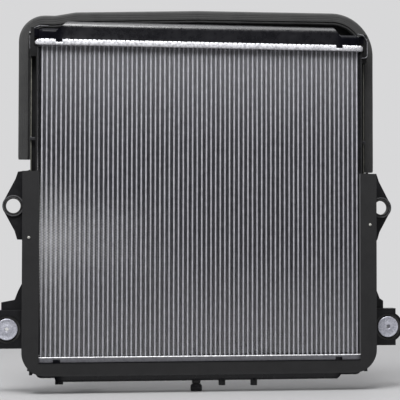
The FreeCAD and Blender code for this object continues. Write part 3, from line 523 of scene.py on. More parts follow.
def rounded(node: str, name: str, width: float, material: Any, segments: int = 2) -> None:
    """Copy a CAD node, round its edges and dress it.

    Args:
        node: the CAD node.
        name: the piece's name.
        width: how much of each edge is taken by the rounding, in millimetres.
        material: its material.
        segments: steps of the rounding.
    """
    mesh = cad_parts[node].data.copy()
    mesh.name = name
    work = bmesh.new()
    work.from_mesh(mesh)
    bmesh.ops.remove_doubles(work, verts=work.verts, dist=0.002 * MM)
    bmesh.ops.dissolve_limit(work, angle_limit=math.radians(0.6), verts=work.verts, edges=work.edges)
    work.to_mesh(mesh)
    work.free()
    made = add_object(name, mesh)
    mesh.shade_smooth()
    mesh.set_sharp_from_angle(angle=math.radians(30))
    bevel = made.modifiers.new("edge_rounding", "BEVEL")
    bevel.width = width * MM
    bevel.segments = segments
    bevel.limit_method = "ANGLE"
    bevel.angle_limit = math.radians(32)
    bevel.use_clamp_overlap = True
    bevel.harden_normals = True
    dress(made, material, [node])


def run_lengths(line: Array) -> Array:
    """How far along a line each of its points is."""
    return np.concatenate([[0], np.cumsum(np.linalg.norm(np.diff(line, axis=0), axis=1))])


def evenly(line: Array, step: float, closed: bool = False) -> Array:
    """Space points evenly along a line.

    Args:
        line: points by station; a closed line repeats its first point at its end.
        step: the spacing.
        closed: whether to leave out the repeated end.

    Returns:
        Points by station.
    """
    lengths = run_lengths(line)
    count = int(lengths[-1] / step) + (0 if closed else 2)
    even = np.linspace(0, lengths[-1], count, endpoint=not closed)
    return np.stack([np.interp(even, lengths, line[:, k]) for k in (0, 1)], axis=-1)


def round_angles(count: int) -> Array:
    """Equal angles round a circle."""
    return np.linspace(0, 2 * np.pi, count, endpoint=False)


def rounded_path(corners: Sequence[tuple[float, float, float]], step: float) -> Array:
    """Follow straight runs joined by arcs, and space points evenly along them.

    Each corner of radius r is cut back by r times the tangent of half its turn; an arc joins the two cuts.

    Args:
        corners: (u, v, radius) of each corner; the first and last are ends.
        step: the spacing of the points.

    Returns:
        Points by station.
    """
    spots = np.array([c[:2] for c in corners], float)
    pieces = [spots[:1]]
    for before, (u, v, radius), after in zip(spots[:-2], corners[1:-1], spots[2:]):
        here = np.array([u, v], float)
        into = (here - before) / np.linalg.norm(here - before)
        out = (after - here) / np.linalg.norm(after - here)
        turn = math.atan2(into[0] * out[1] - into[1] * out[0], float(into @ out))
        start = here - into * radius * abs(math.tan(turn / 2))
        centre = start + np.array([-into[1], into[0]]) * math.copysign(1, turn) * radius
        angles = np.linspace(0, turn, max(3, int(abs(turn) * radius / step) + 2))
        arm = start - centre
        pieces.append(centre + np.stack([
            arm[0] * np.cos(angles) - arm[1] * np.sin(angles),
            arm[0] * np.sin(angles) + arm[1] * np.cos(angles),
        ], axis=-1))
    return evenly(np.concatenate([*pieces, spots[-1:]]), step)


def path_normals(line: Array, closed: bool = False) -> Array:
    """The unit normals to the left of a path, from the differences of its neighbours."""
    if closed:
        along = np.roll(line, -1, axis=0) - np.roll(line, 1, axis=0)
    else:
        along = np.gradient(line, axis=0)
    along /= np.linalg.norm(along, axis=1, keepdims=True)
    return np.stack([-along[:, 1], along[:, 0]], axis=-1)


def rounded_loop(width: float, height: float, radius: float, steps: int = 5) -> Array:
    """A rectangle about (0, 0) with rounded corners, anticlockwise from its lower left corner.

    Args:
        width: the size along u.
        height: the size along v.
        radius: the rounding.
        steps: points in each rounded corner.

    Returns:
        Points around the loop.
    """
    angles = np.pi + np.arange(4)[:, None] * np.pi / 2 + np.linspace(0, np.pi / 2, steps)
    hubs = np.array([(-1, -1), (1, -1), (1, 1), (-1, 1)]) * [width / 2 - radius, height / 2 - radius]
    return (hubs[:, None] + radius * np.stack([np.cos(angles), np.sin(angles)], axis=-1)).reshape(-1, 2)


class Plane(Enum):
    """The axes of the plane that a line lies in."""

    FLAT = (0, 1)
    UPRIGHT = (0, 2)


def carried(line: Array, normal: Array, inward: Array, third: Array, plane: Plane) -> Array:
    """Carry a section along a line: each point is the line's point + inward times the line's normal.

    Args:
        line: the line's points in its plane, by station.
        normal: its unit normals.
        inward: distances along the normal, by station and around the section.
        third: the coordinate across the plane, the same way.
        plane: the line's plane.

    Returns:
        Rings, in metres.
    """
    spots = line[:, None] + normal[:, None] * inward[..., None]
    rings = np.empty(spots.shape[:2] + (3,))
    rings[..., list(plane.value)] = spots
    rings[..., 3 - sum(plane.value)] = third
    return rings * MM


class Axis(Enum):
    """The direction that a turned piece points."""

    LEFT = ((0, 0, -1), (0, 1, 0), (-1, 0, 0))
    RIGHT = ((0, 0, -1), (0, 1, 0), (1, 0, 0))
    BACK = ((1, 0, 0), (0, 0, 1), (0, 1, 0))
    DOWN = ((1, 0, 0), (0, 1, 0), (0, 0, -1))


def turned(profile: Sequence[tuple[float, float]] | Array, centre: Sequence[float], axis: Axis,
           around: int = 72, waist: Callable[[Array, Array], Array] | None = None) -> Array:
    """Turn a closed profile about an axis.

    The point at angle t is centre + radius (cos t, sin t) across the axis + height along it.

    Args:
        profile: (radius, height) points of a closed loop, in millimetres.
        centre: where height 0 is, in millimetres.
        axis: the direction of height.
        around: the number of stations.
        waist: optional factor on the radius, from the angle and the profile's heights.

    Returns:
        Rings for a closed shell, in metres.
    """
    across, up, along = (np.array(v, float) for v in axis.value)
    loop = np.array(profile, float)
    angles = round_angles(around)[:, None]
    radius = np.broadcast_to(loop[:, 0], (around, len(loop))).copy()
    if waist is not None:
        radius *= waist(angles, loop[None, :, 1])
    spots = (np.array(centre, float) + radius[..., None] * (
        np.cos(angles)[..., None] * across + np.sin(angles)[..., None] * up)
        + loop[None, :, 1, None] * along)
    return spots * MM


# --- sub-assemblies ---------------------------------------------------------------------------


@dataclass
class Core:
    """The tube and fin block."""

    tubes: int = 69
    pitch: float = 9.6
    width: float = 2.9
    depth: float = 32.0
    nose: float = 0.4
    sway: float = 0.09
    middle_y: float = 9.5
    tube_wall_gap: float = 2.0
    fin_pitch: float = 1.6
    fin_shift: float = 0.05
    fin_inset: float = 0.12
    fin_cover: float = 0.985
    end_gap: float = 1.0
    foil: float = 0.22
    louvre: float = 0.66
    flatter: float = 0.2
    flatter_run: float = 7.0
    pieces: int = 5
    random: Any = field(default_factory=lambda: np.random.default_rng(RANDOM_SEED))

    def tube_rings(self, low: float, high: float) -> list[Array]:
        """Flat tubes with round noses: a section carried up a line that wanders a little.

        The nose is a flattened half ellipse, whose depth is under half its width.

        Args:
            low: height of the lower end.
            high: height of the upper end.

        Returns:
            One stack of rings for each tube.
        """
        half = self.width / 2
        angles = np.linspace(0, np.pi, 7)
        nose = np.stack([half * np.cos(angles), -self.nose * half * np.sin(angles) ** 0.7], axis=-1)
        flat = self.depth / 2 - self.nose * half
        section = np.concatenate([nose - [0, flat], -nose + [0, flat]])
        heights = np.linspace(low, high, 13)
        stacks = []
        for number in range(self.tubes):
            x = (number - (self.tubes - 1) / 2) * self.pitch
            sway = self.random.normal(0, self.sway, len(heights))
            sway[[0, -1]] = 0
            rings = np.empty((len(heights), len(section), 3))
            rings[..., 0] = x + section[None, :, 0] + sway[:, None]
            rings[..., 1] = self.middle_y + section[None, :, 1]
            rings[..., 2] = heights[:, None]
            stacks.append(rings * MM)
        return stacks

    def fin_rings(self, left: float, low: float, high: float, louvre: float) -> Array:
        """One folded fin: a thin strip whose line zigzags from tube to tube as it climbs.

        From front to back the strip rises and falls by the louvre's height, so that little light passes.

        Args:
            left: the x of its left folds.
            low: height of its lower end.
            high: height of its upper end.
            louvre: how far the strip rises and falls.

        Returns:
            Rings along the strip.
        """
        gap = self.pitch - self.tube_wall_gap
        folds = int(round((high - low) / self.fin_pitch))
        z = np.linspace(low, high, folds + 1) + self.random.normal(0, self.fin_shift, folds + 1)
        x = left + np.where(np.arange(folds + 1) % 2 == 0, self.fin_inset, gap - self.fin_inset)
        lift = self.foil / 2 * math.hypot(gap, self.fin_pitch) / gap
        across = self.depth / 2 * self.fin_cover * np.linspace(-1.0, 1.0, 5)
        wave = louvre * np.array([1.0, -1.0, 1.0, -1.0, 1.0])
        rings = np.empty((folds + 1, 10, 3))
        rings[:, :, 0] = x[:, None]
        rings[:, :, 1] = self.middle_y + np.concatenate([across, across[::-1]])
        rings[:, :5, 2] = z[:, None] + wave[None, :] - lift
        rings[:, 5:, 2] = z[:, None] + wave[None, ::-1] + lift
        return rings * MM

    def build(self, finishes: Finishes) -> None:
        """Build tubes, fins and side plates."""
        low, high = box_mm("tubes")
        tubes = shaped("core_tubes", self.tube_rings(low[2], high[2]))
        dress(tubes, finishes.tube, ["tubes"])
        low, high = box_mm("fins")
        between = np.array_split(np.arange(1, self.tubes), self.pieces)
        strips = [np.array([0]), *between, np.array([self.tubes])]
        for number, group in enumerate(strips):
            # the fins by the left end are pressed a little flatter and let more light through
            louvres = self.louvre - self.flatter * np.exp(-(((group - 1) / self.flatter_run) ** 2))
            block = shaped(f"core_fins_{number}", [
                self.fin_rings(
                    low[0] + strip * self.pitch, low[2] + self.end_gap, high[2] - self.end_gap, louvre)
                for strip, louvre in zip(group, louvres)])
            # the outermost strips get the darker foil, a painted shade
            dress(block, finishes.fin if len(group) > 1 else finishes.outer_fin, ["fins"])
        for side, _ in SIDES:
            rounded(f"side_plate_{side}", f"core_side_plate_{side}", 0.3, finishes.side_plate)


@dataclass
class CrimpBand:
    """A header: a pan whose upright edge is folded over the tank's foot in a row of tabs."""

    corner: float = 20.0
    sheet: float = 1.6
    tab_pitch: float = 9.6
    notch: float = 1.2
    notch_slope: float = 1.2
    crown_low: float = 0.93
    lip: float = 3.5
    root: float = 8.6
    lug_half: float = 6.9
    lug_cut: float = -0.75
    bruise: float = 0.3
    bruise_limit: float = 0.15
    rolled_bruise: float = 0.2
    rolled_crown: float = 0.97
    step: float = 0.8
    end_run: float = 8.0
    end_lift: float = 2.8
    end_drop: float = 3.0
    floor_inset: float = 8.0
    floor_corner: float = 12.0
    bead_radius: float = 1.25
    bead_inset: float = 0.6
    bead_drop: float = 1.0
    bead_swell: float = 0.1

    def outline(self, node: str) -> tuple[Array, Array, Array, Array]:
        """The closed outer line of a pan, seen from above, with even spacing.

        Args:
            node: the CAD header.

        Returns:
            The line about the pan's middle, its normals, and the pan's middle and half size.
        """
        low, high = box_mm(node)
        half = (high - low) / 2
        loop = rounded_loop(2 * half[0], 2 * half[1], self.corner, 40)
        line = evenly(np.concatenate([loop, loop[:1]]), self.step, closed=True)
        return line, path_normals(line, closed=True), (low + high) / 2, half

    def tabs(self, line: Array, normal: Array, middle: float, outward: int,
             lugs: Sequence[float]) -> Array:
        """The tab factor: 0 in a notch, 1 on a tab and below 0 where the edge is cut low for a lug.

        Args:
            line: the pan's outer line.
            normal: its normals.
            middle: the x of the pan's middle.
            outward: 1 where tabs point up, -1 where they point down.
            lugs: the x of each of the tank's lugs.

        Returns:
            The tab factor and the height of the tab's crown, by station.
        """
        phase = np.where(np.abs(normal[:, 1]) > 0.7, line[:, 0] + middle, run_lengths(line))
        place = np.abs((phase / self.tab_pitch + 0.5) % 1.0 - 0.5) * self.tab_pitch
        tab = np.clip((self.tab_pitch / 2 - place - self.notch / 2) / self.notch_slope + 0.5, 0, 1)
        tab = tab * tab * (3 - 2 * tab)
        bow = np.cos(np.pi * (self.tab_pitch / 2 - place) / self.tab_pitch) ** 2
        crown = self.crown_low + (1 - self.crown_low) * bow
        for lug in lugs:
            at_lug = (np.abs(line[:, 0] + middle - lug) < self.lug_half) & (line[:, 1] < 0)
            tab = np.where(at_lug, self.lug_cut, tab)
        if outward < 0:
            # the lower edge is rolled over plain, without notches
            return np.stack([np.where(tab < 0, tab, 1.0), np.full_like(tab, self.rolled_crown)])
        return np.stack([tab, crown])

    def rings(self, node: str, outward: int, lugs: Sequence[float]) -> tuple[Array, Array]:
        """The folded edge and the floor.

        The edge's section is a hook; the tab factor draws the hook's end up and in.

        Args:
            node: the CAD header.
            outward: 1 where tabs point up, -1 where they point down.
            lugs: the x of each of the tank's lugs, where the edge is cut low.

        Returns:
            The edge's closed rings and the floor's rings.
        """
        line, normal, centre, half = self.outline(node)
        height = 2 * half[2]
        tab, crown = self.tabs(line, normal, centre[0], outward, lugs)
        rng = np.random.default_rng(RANDOM_SEED)
        bruise = np.repeat(rng.normal(0, self.bruise, len(line) // 4 + 1), 4)[: len(line)]
        if outward < 0:
            bruise *= self.rolled_bruise
        dents = np.where(tab > 0, np.minimum(bruise, self.bruise_limit), 0)
        top = self.root + (height - self.root) * tab * crown + dents
        tab = np.maximum(tab, 0)
        sheet = self.sheet
        reach = sheet + self.lip * tab
        # the section, from the floor's outer corner up the outside, over the lip and down the inside
        hook = (
            (1.6, 0.0), (0.5, 0.5), (0.0, 1.8), (0.0, top * 0.5), (0.05, top - 2.2), (0.35, top - 1.0),
            (1.1, top - 0.25), (sheet * 0.9 + 0.3 * tab, top), (reach, top - 0.1),
            (reach + 0.25, top - sheet * 0.5), (reach, top - sheet + 0.1), (sheet, top - sheet - 0.2),
            (sheet, top * 0.5), (sheet, sheet + 1.2), (sheet + 0.6, sheet + 0.2), (9.0, sheet), (9.0, 0.0))
        inward, rise = (
            np.stack([np.broadcast_to(spot[k], top.shape) for spot in hook], axis=-1) for k in (0, 1))
        # towards each end the edge draws in from above and below, so its end looks round
        end = np.clip((np.abs(line[:, 0]) - line[:, 0].max()) / self.end_run + 1, 0, 1)[:, None] ** 2
        rise = self.end_lift * end + rise * (1 - (self.end_lift + self.end_drop) * end / height)
        base = centre[2] - outward * half[2]
        edge = carried(line + centre[:2], normal, inward, base + outward * rise, Plane.FLAT)
        floor = rounded_loop(*(2 * (half[:2] - self.floor_inset)), self.floor_corner)
        slab = np.empty((2, len(floor), 3))
        slab[..., :2] = floor[None] + centre[:2]
        slab[..., 2] = np.array([base, base + outward * sheet])[:, None]
        return edge, slab * MM

    def bead(self, node: str) -> Any:
        """The rolled bead around a header's upper edge, in a brighter finish that paints its highlight: a
        round section carried along the outline.
        """
        line, normal, centre, half = self.outline(node)
        angle = round_angles(10)
        rng = np.random.default_rng(RANDOM_SEED)
        swell = np.repeat(rng.normal(0, self.bead_swell, len(line) // 6 + 1), 6)
        size = self.bead_radius * (1 + swell[: len(line), None])
        height = centre[2] + half[2] - self.bead_drop + size * np.sin(angle)
        inward = size * np.cos(angle) + self.bead_inset
        rings = carried(line + centre[:2], normal, inward, height, Plane.FLAT)
        return shaped(f"rolled_{node}_bead", [rings], True, 60)

    def build(self, finishes: Finishes) -> None:
        """Build both headers."""
        # the lower header's bead carries a painted highlight
        dress(self.bead("lower_header"), finishes.bead)
        for node, outward, lugs, finish in (
            ("upper_header", 1, (-293, 287), finishes.header),
            ("lower_header", -1, (-295, 285), finishes.low_header),
        ):
            edge, slab = self.rings(node, outward, lugs)
            shells = Shells()
            shells.add(edge, closed=True)
            shells.add(slab)
            dress(shells.build(f"crimped_{node}", 50), finish, [node])


@dataclass
class Tanks:
    """The two moulded tanks and their gaskets."""

    rounding: float = 0.7

    def build(self, finishes: Finishes) -> None:
        """Round the tanks' edges and dress them."""
        for level in ("upper", "lower"):
            node = f"{level}_tank"
            rounded(node, f"moulded_{node}", self.rounding, finishes.tank)
            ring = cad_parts[f"{node}_gasket"]
            ring.data.materials.clear()
            ring.data.materials.append(finishes.rubber)


@dataclass
class RearSeal:
    """The arched foam seal behind the upper tank, and its carrier."""

    half: float = 374.2
    band: float = 21.4
    left_leg: float = 346.0
    right_leg: float = 325.0
    left_top: float = 644.0
    ramp_top: float = 652.0
    middle_top: float = 661.5
    right_top: float = 664.0
    step: float = 4.0
    ridge: float = 0.22
    ridges: float = 5.5
    face_round: float = 6.0
    face_inset: float = 0.4
    end_squeeze: float = 0.93

    def line(self) -> Array:
        """The seal's outer line, from the left leg's end over the top to the right leg's end."""
        return rounded_path([
            (-self.half, self.left_leg, 0), (-self.half, self.left_top, 55), (-300, self.left_top, 40),
            (-258, self.ramp_top, 40), (0, self.middle_top, 600), (self.half, self.right_top, 90),
            (self.half, self.right_leg, 0),
        ], self.step)

    def section(self, depth: float) -> tuple[Array, Array]:
        """The foam's section: a rounded block whose front carries shallow ridges.

        The front's depth is a raised cosine across the band, which makes rounded ridges with grooves between.

        Args:
            depth: the foam's size from front to back.

        Returns:
            Distance inward from the outer line, and distance back from the front.
        """
        across = np.linspace(0.0, self.band, 49)
        middle = across / self.band
        edge = np.minimum(1, np.minimum(middle / 0.3, (1 - middle) / 0.16))
        front = self.face_round * (1 - np.sqrt(np.clip(1 - (1 - edge) ** 2, 0, 1)))
        wave = 0.5 - 0.5 * np.cos(2 * np.pi * middle * self.ridges)
        front = front + self.ridge * wave * np.clip(edge * 1.5, 0, 1)
        inward = np.concatenate([across, [self.band, self.band - 0.8, 0.8, 0.0]])
        back = np.concatenate([front, [depth - 1, depth, depth, depth - 1]])
        return inward, back

    def build(self, finishes: Finishes) -> None:
        """Build the seal and dress the carrier."""
        low, high = box_mm("upper_seal")
        depth = high[1] - low[1]
        line = self.line()
        inward, back = self.section(depth)
        station = np.arange(len(line))
        wave = 0.25 * np.sin(station * 0.23) + 0.2 * np.sin(station * 0.071 + 1)
        squeeze = np.ones(len(line))
        squeeze[[0, -1]] = self.end_squeeze
        middle = self.band / 2
        across = middle + (inward[None, :] - middle) * squeeze[:, None]
        y = low[1] + self.face_inset + back[None, :] * (1 - self.face_inset / depth) + (
            wave[:, None] * (1 - back[None, :] / back.max()))
        rings = carried(line, -path_normals(line), across, y, Plane.UPRIGHT)
        seal = shaped("foam_arch_seal", [rings], False, 60)
        dress(seal, finishes.rear_foam, ["upper_seal"])
        rounded("seal_carrier", "moulded_seal_carrier", 0.6, finishes.carrier)


@dataclass
class FrontSeal:
    """The flat foam U in front of the lower half, and its two pins."""

    outer_half: float = 365.0
    inner_half: float = 331.0
    top: float = 319.0
    bottom: float = -93.0
    inner_bottom: float = -67.3
    corner: float = 48.0
    leg_back: float = -6.9
    base_back: float = -11.6
    rounding: float = 1.6
    face_points: int = 8
    face_inset: float = 0.15
    face_wave: float = 0.12
    face_fuzz: float = 0.03
    pin_inset: float = 4.0

    def lines(self) -> tuple[Array, Array, Array]:
        """Matched stations on the outer and inner lines of the U.

        Legs run straight down; round each corner the outer point follows an arc while the inner point goes
        into its square corner and out again; the base runs straight across.

        Returns:
            The outer line, the inner line and how far along to the base each station is.
        """
        turn = self.bottom + self.corner
        legs = np.linspace(self.top, turn, 90, endpoint=False)
        sweep = np.linspace(0, 1, 25)
        angle = np.pi + sweep * np.pi / 2
        hub = self.outer_half - self.corner
        base = np.linspace(-hub, hub, 160)[1:-1]
        down = np.clip(sweep * 2, 0, 1)
        over = np.clip(sweep * 2 - 1, 0, 1)
        flip = np.array([-1, 1])
        both = []
        for half, bottom, corner_x, corner_z in (
            (self.outer_half, self.bottom,
             -hub + self.corner * np.cos(angle), turn + self.corner * np.sin(angle)),
            (self.inner_half, self.inner_bottom,
             -self.inner_half + (self.inner_half - hub) * over, turn + (self.inner_bottom - turn) * down),
        ):
            left = np.concatenate([
                np.stack([np.full_like(legs, -half), legs], -1), np.stack([corner_x, corner_z], -1)])
            across = np.stack([base, np.full_like(base, bottom)], -1)
            both.append(np.concatenate([left, across, (left * flip)[::-1]]))
        part = np.concatenate([np.zeros_like(legs), sweep])
        return both[0], both[1], np.concatenate([part, np.ones_like(base), part[::-1]])

    def rings(self) -> Array:
        """The U's rings: from the rounded outer edge over a face that waves a little, and back behind."""
        front = box_mm("lower_seal")[0][1]
        outer, inner, part = self.lines()
        back = (self.leg_back + (self.base_back - self.leg_back) * part)[:, None]
        width = np.linalg.norm(inner - outer, axis=1)[:, None]
        count = len(width)
        quarter = np.linspace(0, np.pi / 2, 4)
        inset = self.rounding * (1 - np.sin(quarter))[None]
        proud = np.broadcast_to(self.rounding * (1 - np.cos(quarter)), (count, 4))
        face = np.broadcast_to(np.linspace(0.08, 0.92, self.face_points), (count, self.face_points))
        fraction = np.concatenate([
            inset / width, face, 1 - inset[:, ::-1] / width, np.ones((count, 1)), np.zeros((count, 1)),
        ], axis=1)
        rng = np.random.default_rng(RANDOM_SEED)
        wave = self.face_wave * np.sin(np.arange(count) * 0.31)[:, None]
        flat = wave + rng.normal(0, self.face_fuzz, (count, self.face_points))
        y = np.concatenate([
            front + proud[:, ::-1], front + self.face_inset + np.abs(flat), front + proud, back, back,
        ], axis=1)
        spots = outer[:, None] + (inner - outer)[:, None] * fraction[..., None]
        return np.stack([spots[..., 0], y, spots[..., 1]], axis=-1) * MM

    def build(self, finishes: Finishes) -> None:
        """Build the seal and pins."""
        seal = shaped("foam_front_seal", [self.rings()], False, 50)
        dress(seal, finishes.front_foam, ["lower_seal"])
        low, high = box_mm("seal_pins")
        dome = [(0.01, 0.0), (1.6, 0.15), (2.5, 0.5), (2.9, 1.0), (2.9, 1.2)]
        stem = [(1.5, 1.2), (1.5, 17.5), (0.01, 18.0)]
        pins = shaped("seal_push_pins", [
            turned(dome + stem, (x, low[1], z), Axis.BACK, 24)
            for x, _, z in (low + self.pin_inset, high - self.pin_inset)], True)
        dress(pins, finishes.pin, ["seal_pins"])


@dataclass
class SideFrames:
    """The moulded channels at each side and the bars that tie them."""

    rib_x: float = 348.2
    rib_front: float = 21.5
    rib_low: float = 317.0
    rib_high: float = 553.0
    bead_radius: float = 0.85
    rim_left_y: float = 20.0
    rim_right_y: float = -3.8
    rim_radius: float = 0.75
    rim_step: float = 1.5
    rim_depth: float = 2.0

    def bead(self, x: float) -> Array:
        """The bead along a rib's front edge, in a lighter nylon that paints the edge's highlight: a rounded
        ridge whose radius swells and shrinks.
        """
        z = np.linspace(self.rib_low, self.rib_high, 160)
        size = self.bead_radius * (1 + 0.12 * np.sin(z * 0.37) * np.sin(z * 0.061))
        size[[0, -1]] *= 0.3
        angle = round_angles(12)
        line = np.stack([np.full_like(z, x), z], axis=-1)
        front = self.rib_front + size[:, None] * 0.7 * np.sin(angle)
        return carried(line, -path_normals(line), size[:, None] * np.cos(angle), front, Plane.UPRIGHT)

    def rim(self, side: str) -> Array:
        """The thin moulded rim round a frame's top corner, in a lighter nylon that paints the highlight on
        its edge: a round section carried along runs and arcs.
        """
        if side == "left":
            front = self.rim_left_y
            corners = [
                (-351.6, 570, 0), (-352.1, 598, 12), (-345.5, 613, 12), (-332, 618.6, 10), (-314, 618.5, 0)]
        else:
            front = self.rim_right_y
            corners = [(334, 561.5, 0), (349.8, 563.5, 6), (349.8, 597, 14), (342, 610, 12), (328.5, 613, 0)]
        line = rounded_path(corners, self.rim_step)
        angle = round_angles(10)
        size = self.rim_radius * (1 + 0.15 * np.sin(np.arange(len(line)) * 0.9))
        size[[0, -1]] *= 0.4
        across = size[:, None] * np.cos(angle)
        y = front + self.rim_depth * size[:, None] * np.sin(angle)
        return carried(line, path_normals(line), across, y, Plane.UPRIGHT)

    def build(self, finishes: Finishes) -> None:
        """Round the frames' edges and dress them."""
        for side, sign in SIDES:
            node = f"side_frame_{side}"
            rounded(node, f"moulded_{node}", 0.5, finishes.frame)
            bead = shaped(f"side_frame_bead_{side}", [self.bead(sign * self.rib_x)])
            dress(bead, finishes.edge)
            dress(shaped(f"side_frame_rim_{side}", [self.rim(side)]), finishes.rim)
        rounded("frame_clips", "sprung_frame_clips", 0.8, finishes.clip, 3)


@dataclass
class Brackets:
    """The mounting lugs and blocks with their rubbers, sleeves and screws."""

    eye_x: float = 383.1
    eye_z: float = 249.3
    bolt_x: float = 394.4
    face_y: float = 11.0
    grommet_y: float = 10.3

    def ring(self, loop: Sequence[tuple[float, float]], x: float, y: float = 0.0, z: float = 0.0) -> Array:
        """Turn a profile about an axis that points to the back."""
        return turned(loop, (x, y, z), Axis.BACK, 96)

    def grommet(self, x: float) -> Array:
        """A ring with rolled lips that hold it in the lug's eye."""
        bore = [(14.55, 1.2), (14.5, 4.0), (14.5, 11.4), (14.55, 14.2), (15.0, 15.1)]
        back_lip = [(16.2, 15.4), (17.3, 15.0), (17.6, 14.4), (17.3, 14.2)]
        barrel = [(16.4, 14.2), (16.4, 1.2)]
        front_lip = [(17.3, 1.2), (17.6, 1.0), (17.3, 0.4), (16.2, 0.0), (15.0, 0.3)]
        return self.ring(bore + back_lip + barrel + front_lip, x, self.grommet_y, self.eye_z)

    def boss(self, x: float) -> Array:
        """The ring on a lug's face round its eye, in a lighter nylon that paints its lit edges: a low rounded
        ridge.
        """
        face = [(18.3, 1.3), (18.5, 0.3), (19.0, -0.3), (20.9, -0.3), (21.5, 0.3), (21.8, 1.3)]
        return self.ring(face + [(21.5, 2.2), (18.6, 2.2)], x, self.face_y, self.eye_z)

    def sleeve(self, x: float) -> Array:
        """A bolt sleeve with a broad washer, whose face is dished a little between two rings."""
        face = [(4.2, 0.5), (4.7, 0.05), (9.0, 0.0), (9.6, 0.35), (18.4, 0.35), (19.0, 0.0)]
        rim = [(20.9, 0.05), (21.5, 0.6), (21.5, 2.5), (21.0, 3.0), (7.0, 3.0)]
        tube = [(7.0, 27.0), (6.6, 27.5), (4.6, 27.5), (4.2, 27.1)]
        return self.ring(face + rim + tube, x)

    def bush(self, x: float) -> Array:
        """A rubber bush with a rounded groove pressed into each face."""
        front = [(7.05, 3.0), (10.5, 3.0), (13.0, 5.5), (17.0, 6.6), (21.0, 5.5), (23.5, 3.2)]
        rim = [(27.2, 3.0), (27.95, 3.7), (27.95, 24.8), (27.2, 25.5)]
        back = [(23.0, 25.5), (19.0, 22.5), (14.0, 22.5), (11.0, 25.5), (7.05, 25.5)]
        return self.ring(front + rim + back, x)

    def build(self, finishes: Finishes) -> None:
        """Build brackets, rubbers and sleeves."""
        for side, sign in SIDES:
            for node in (f"mid_bracket_{side}", f"lower_bracket_{side}"):
                rounded(node, f"moulded_{node}", 0.9, finishes.bracket, 3)
            ring = shaped(f"mid_bracket_boss_{side}", [self.boss(sign * self.eye_x)], True, 40)
            dress(ring, finishes.boss)
            for node, rings, material, slot in (
                (f"mid_grommet_{side}", self.grommet(sign * self.eye_x), finishes.rubber, Slot.RUBBER),
                (f"lower_sleeve_{side}", self.sleeve(sign * self.bolt_x), finishes.washer, Slot.STEEL),
                (f"lower_bush_{side}", self.bush(sign * self.bolt_x), finishes.rubber, Slot.RUBBER),
            ):
                dress(shaped(f"turned_{node}", [rings], True, 40), material, [node])


@dataclass
class Screws:
    """Flanged hexagon screws, their heads against brackets, frames and carrier."""

    head_radius: float = 4.5
    flat_radius: float = 3.6
    around: int = 48
    corner_limit: float = 1.12
    flange_top: float = 1.1
    head_top: float = 4.1

    def hexagon(self, angle: Array, height: Array) -> Array:
        """The factor that turns the head's round section to a six-sided one above its flange.

        A regular hexagon's radius is its flat's radius over the cosine of the angle to the nearest flat.

        Args:
            angle: the angle of each station.
            height: the height of each point of the profile.

        Returns:
            The factor on the radius.
        """
        to_flat = (angle + np.pi / 6) % (np.pi / 3) - np.pi / 6
        six = np.minimum(1 / np.cos(to_flat), self.corner_limit)
        return np.where((height > self.flange_top) & (height < self.head_top), six, 1.0)

    def head(self, centre: Sequence[float], axis: Axis, shank: float) -> Array:
        """One screw about its own axis, flange at height 0."""
        loop = [
            (0.01, 3.4), (1.8, 3.4), (2.3, 3.9), (2.9, 4.0), (3.4, 3.8), (self.flat_radius, 3.4),
            (self.flat_radius, 1.3), (3.8, 0.9), (4.3, 0.6), (self.head_radius, 0.3), (self.head_radius, 0.0),
            (2.5, 0.0), (2.5, 0.3 - shank), (2.2, -shank), (0.01, -shank)]
        return turned(loop, centre, axis, self.around, self.hexagon)

    def build(self, finishes: Finishes) -> None:
        """Build the three groups: each screw stands at x either side, at y, and at each height."""
        sideways = (Axis.LEFT, Axis.RIGHT)
        for node, finish, x, y, heights, shank, axes in (
            ("bracket_screws", finishes.screw, 352.5, 32.5, (301.3, 193.3, 70.0, -34.0), 6.0, sideways),
            ("frame_screws", finishes.dark_screw, 349.5, 9.5, (601.0, -81.0), 9.0, sideways),
            ("carrier_screws", finishes.screw, 343.0, 60.0, (545.0, 380.0), 6.5, (Axis.BACK, Axis.BACK)),
        ):
            stacks = [
                self.head((sign * x, y, z), axis, shank)
                for (_, sign), axis in zip(SIDES, axes) for z in heights]
            dress(shaped(f"hexagon_{node}", stacks, True, 30), finish, [node])


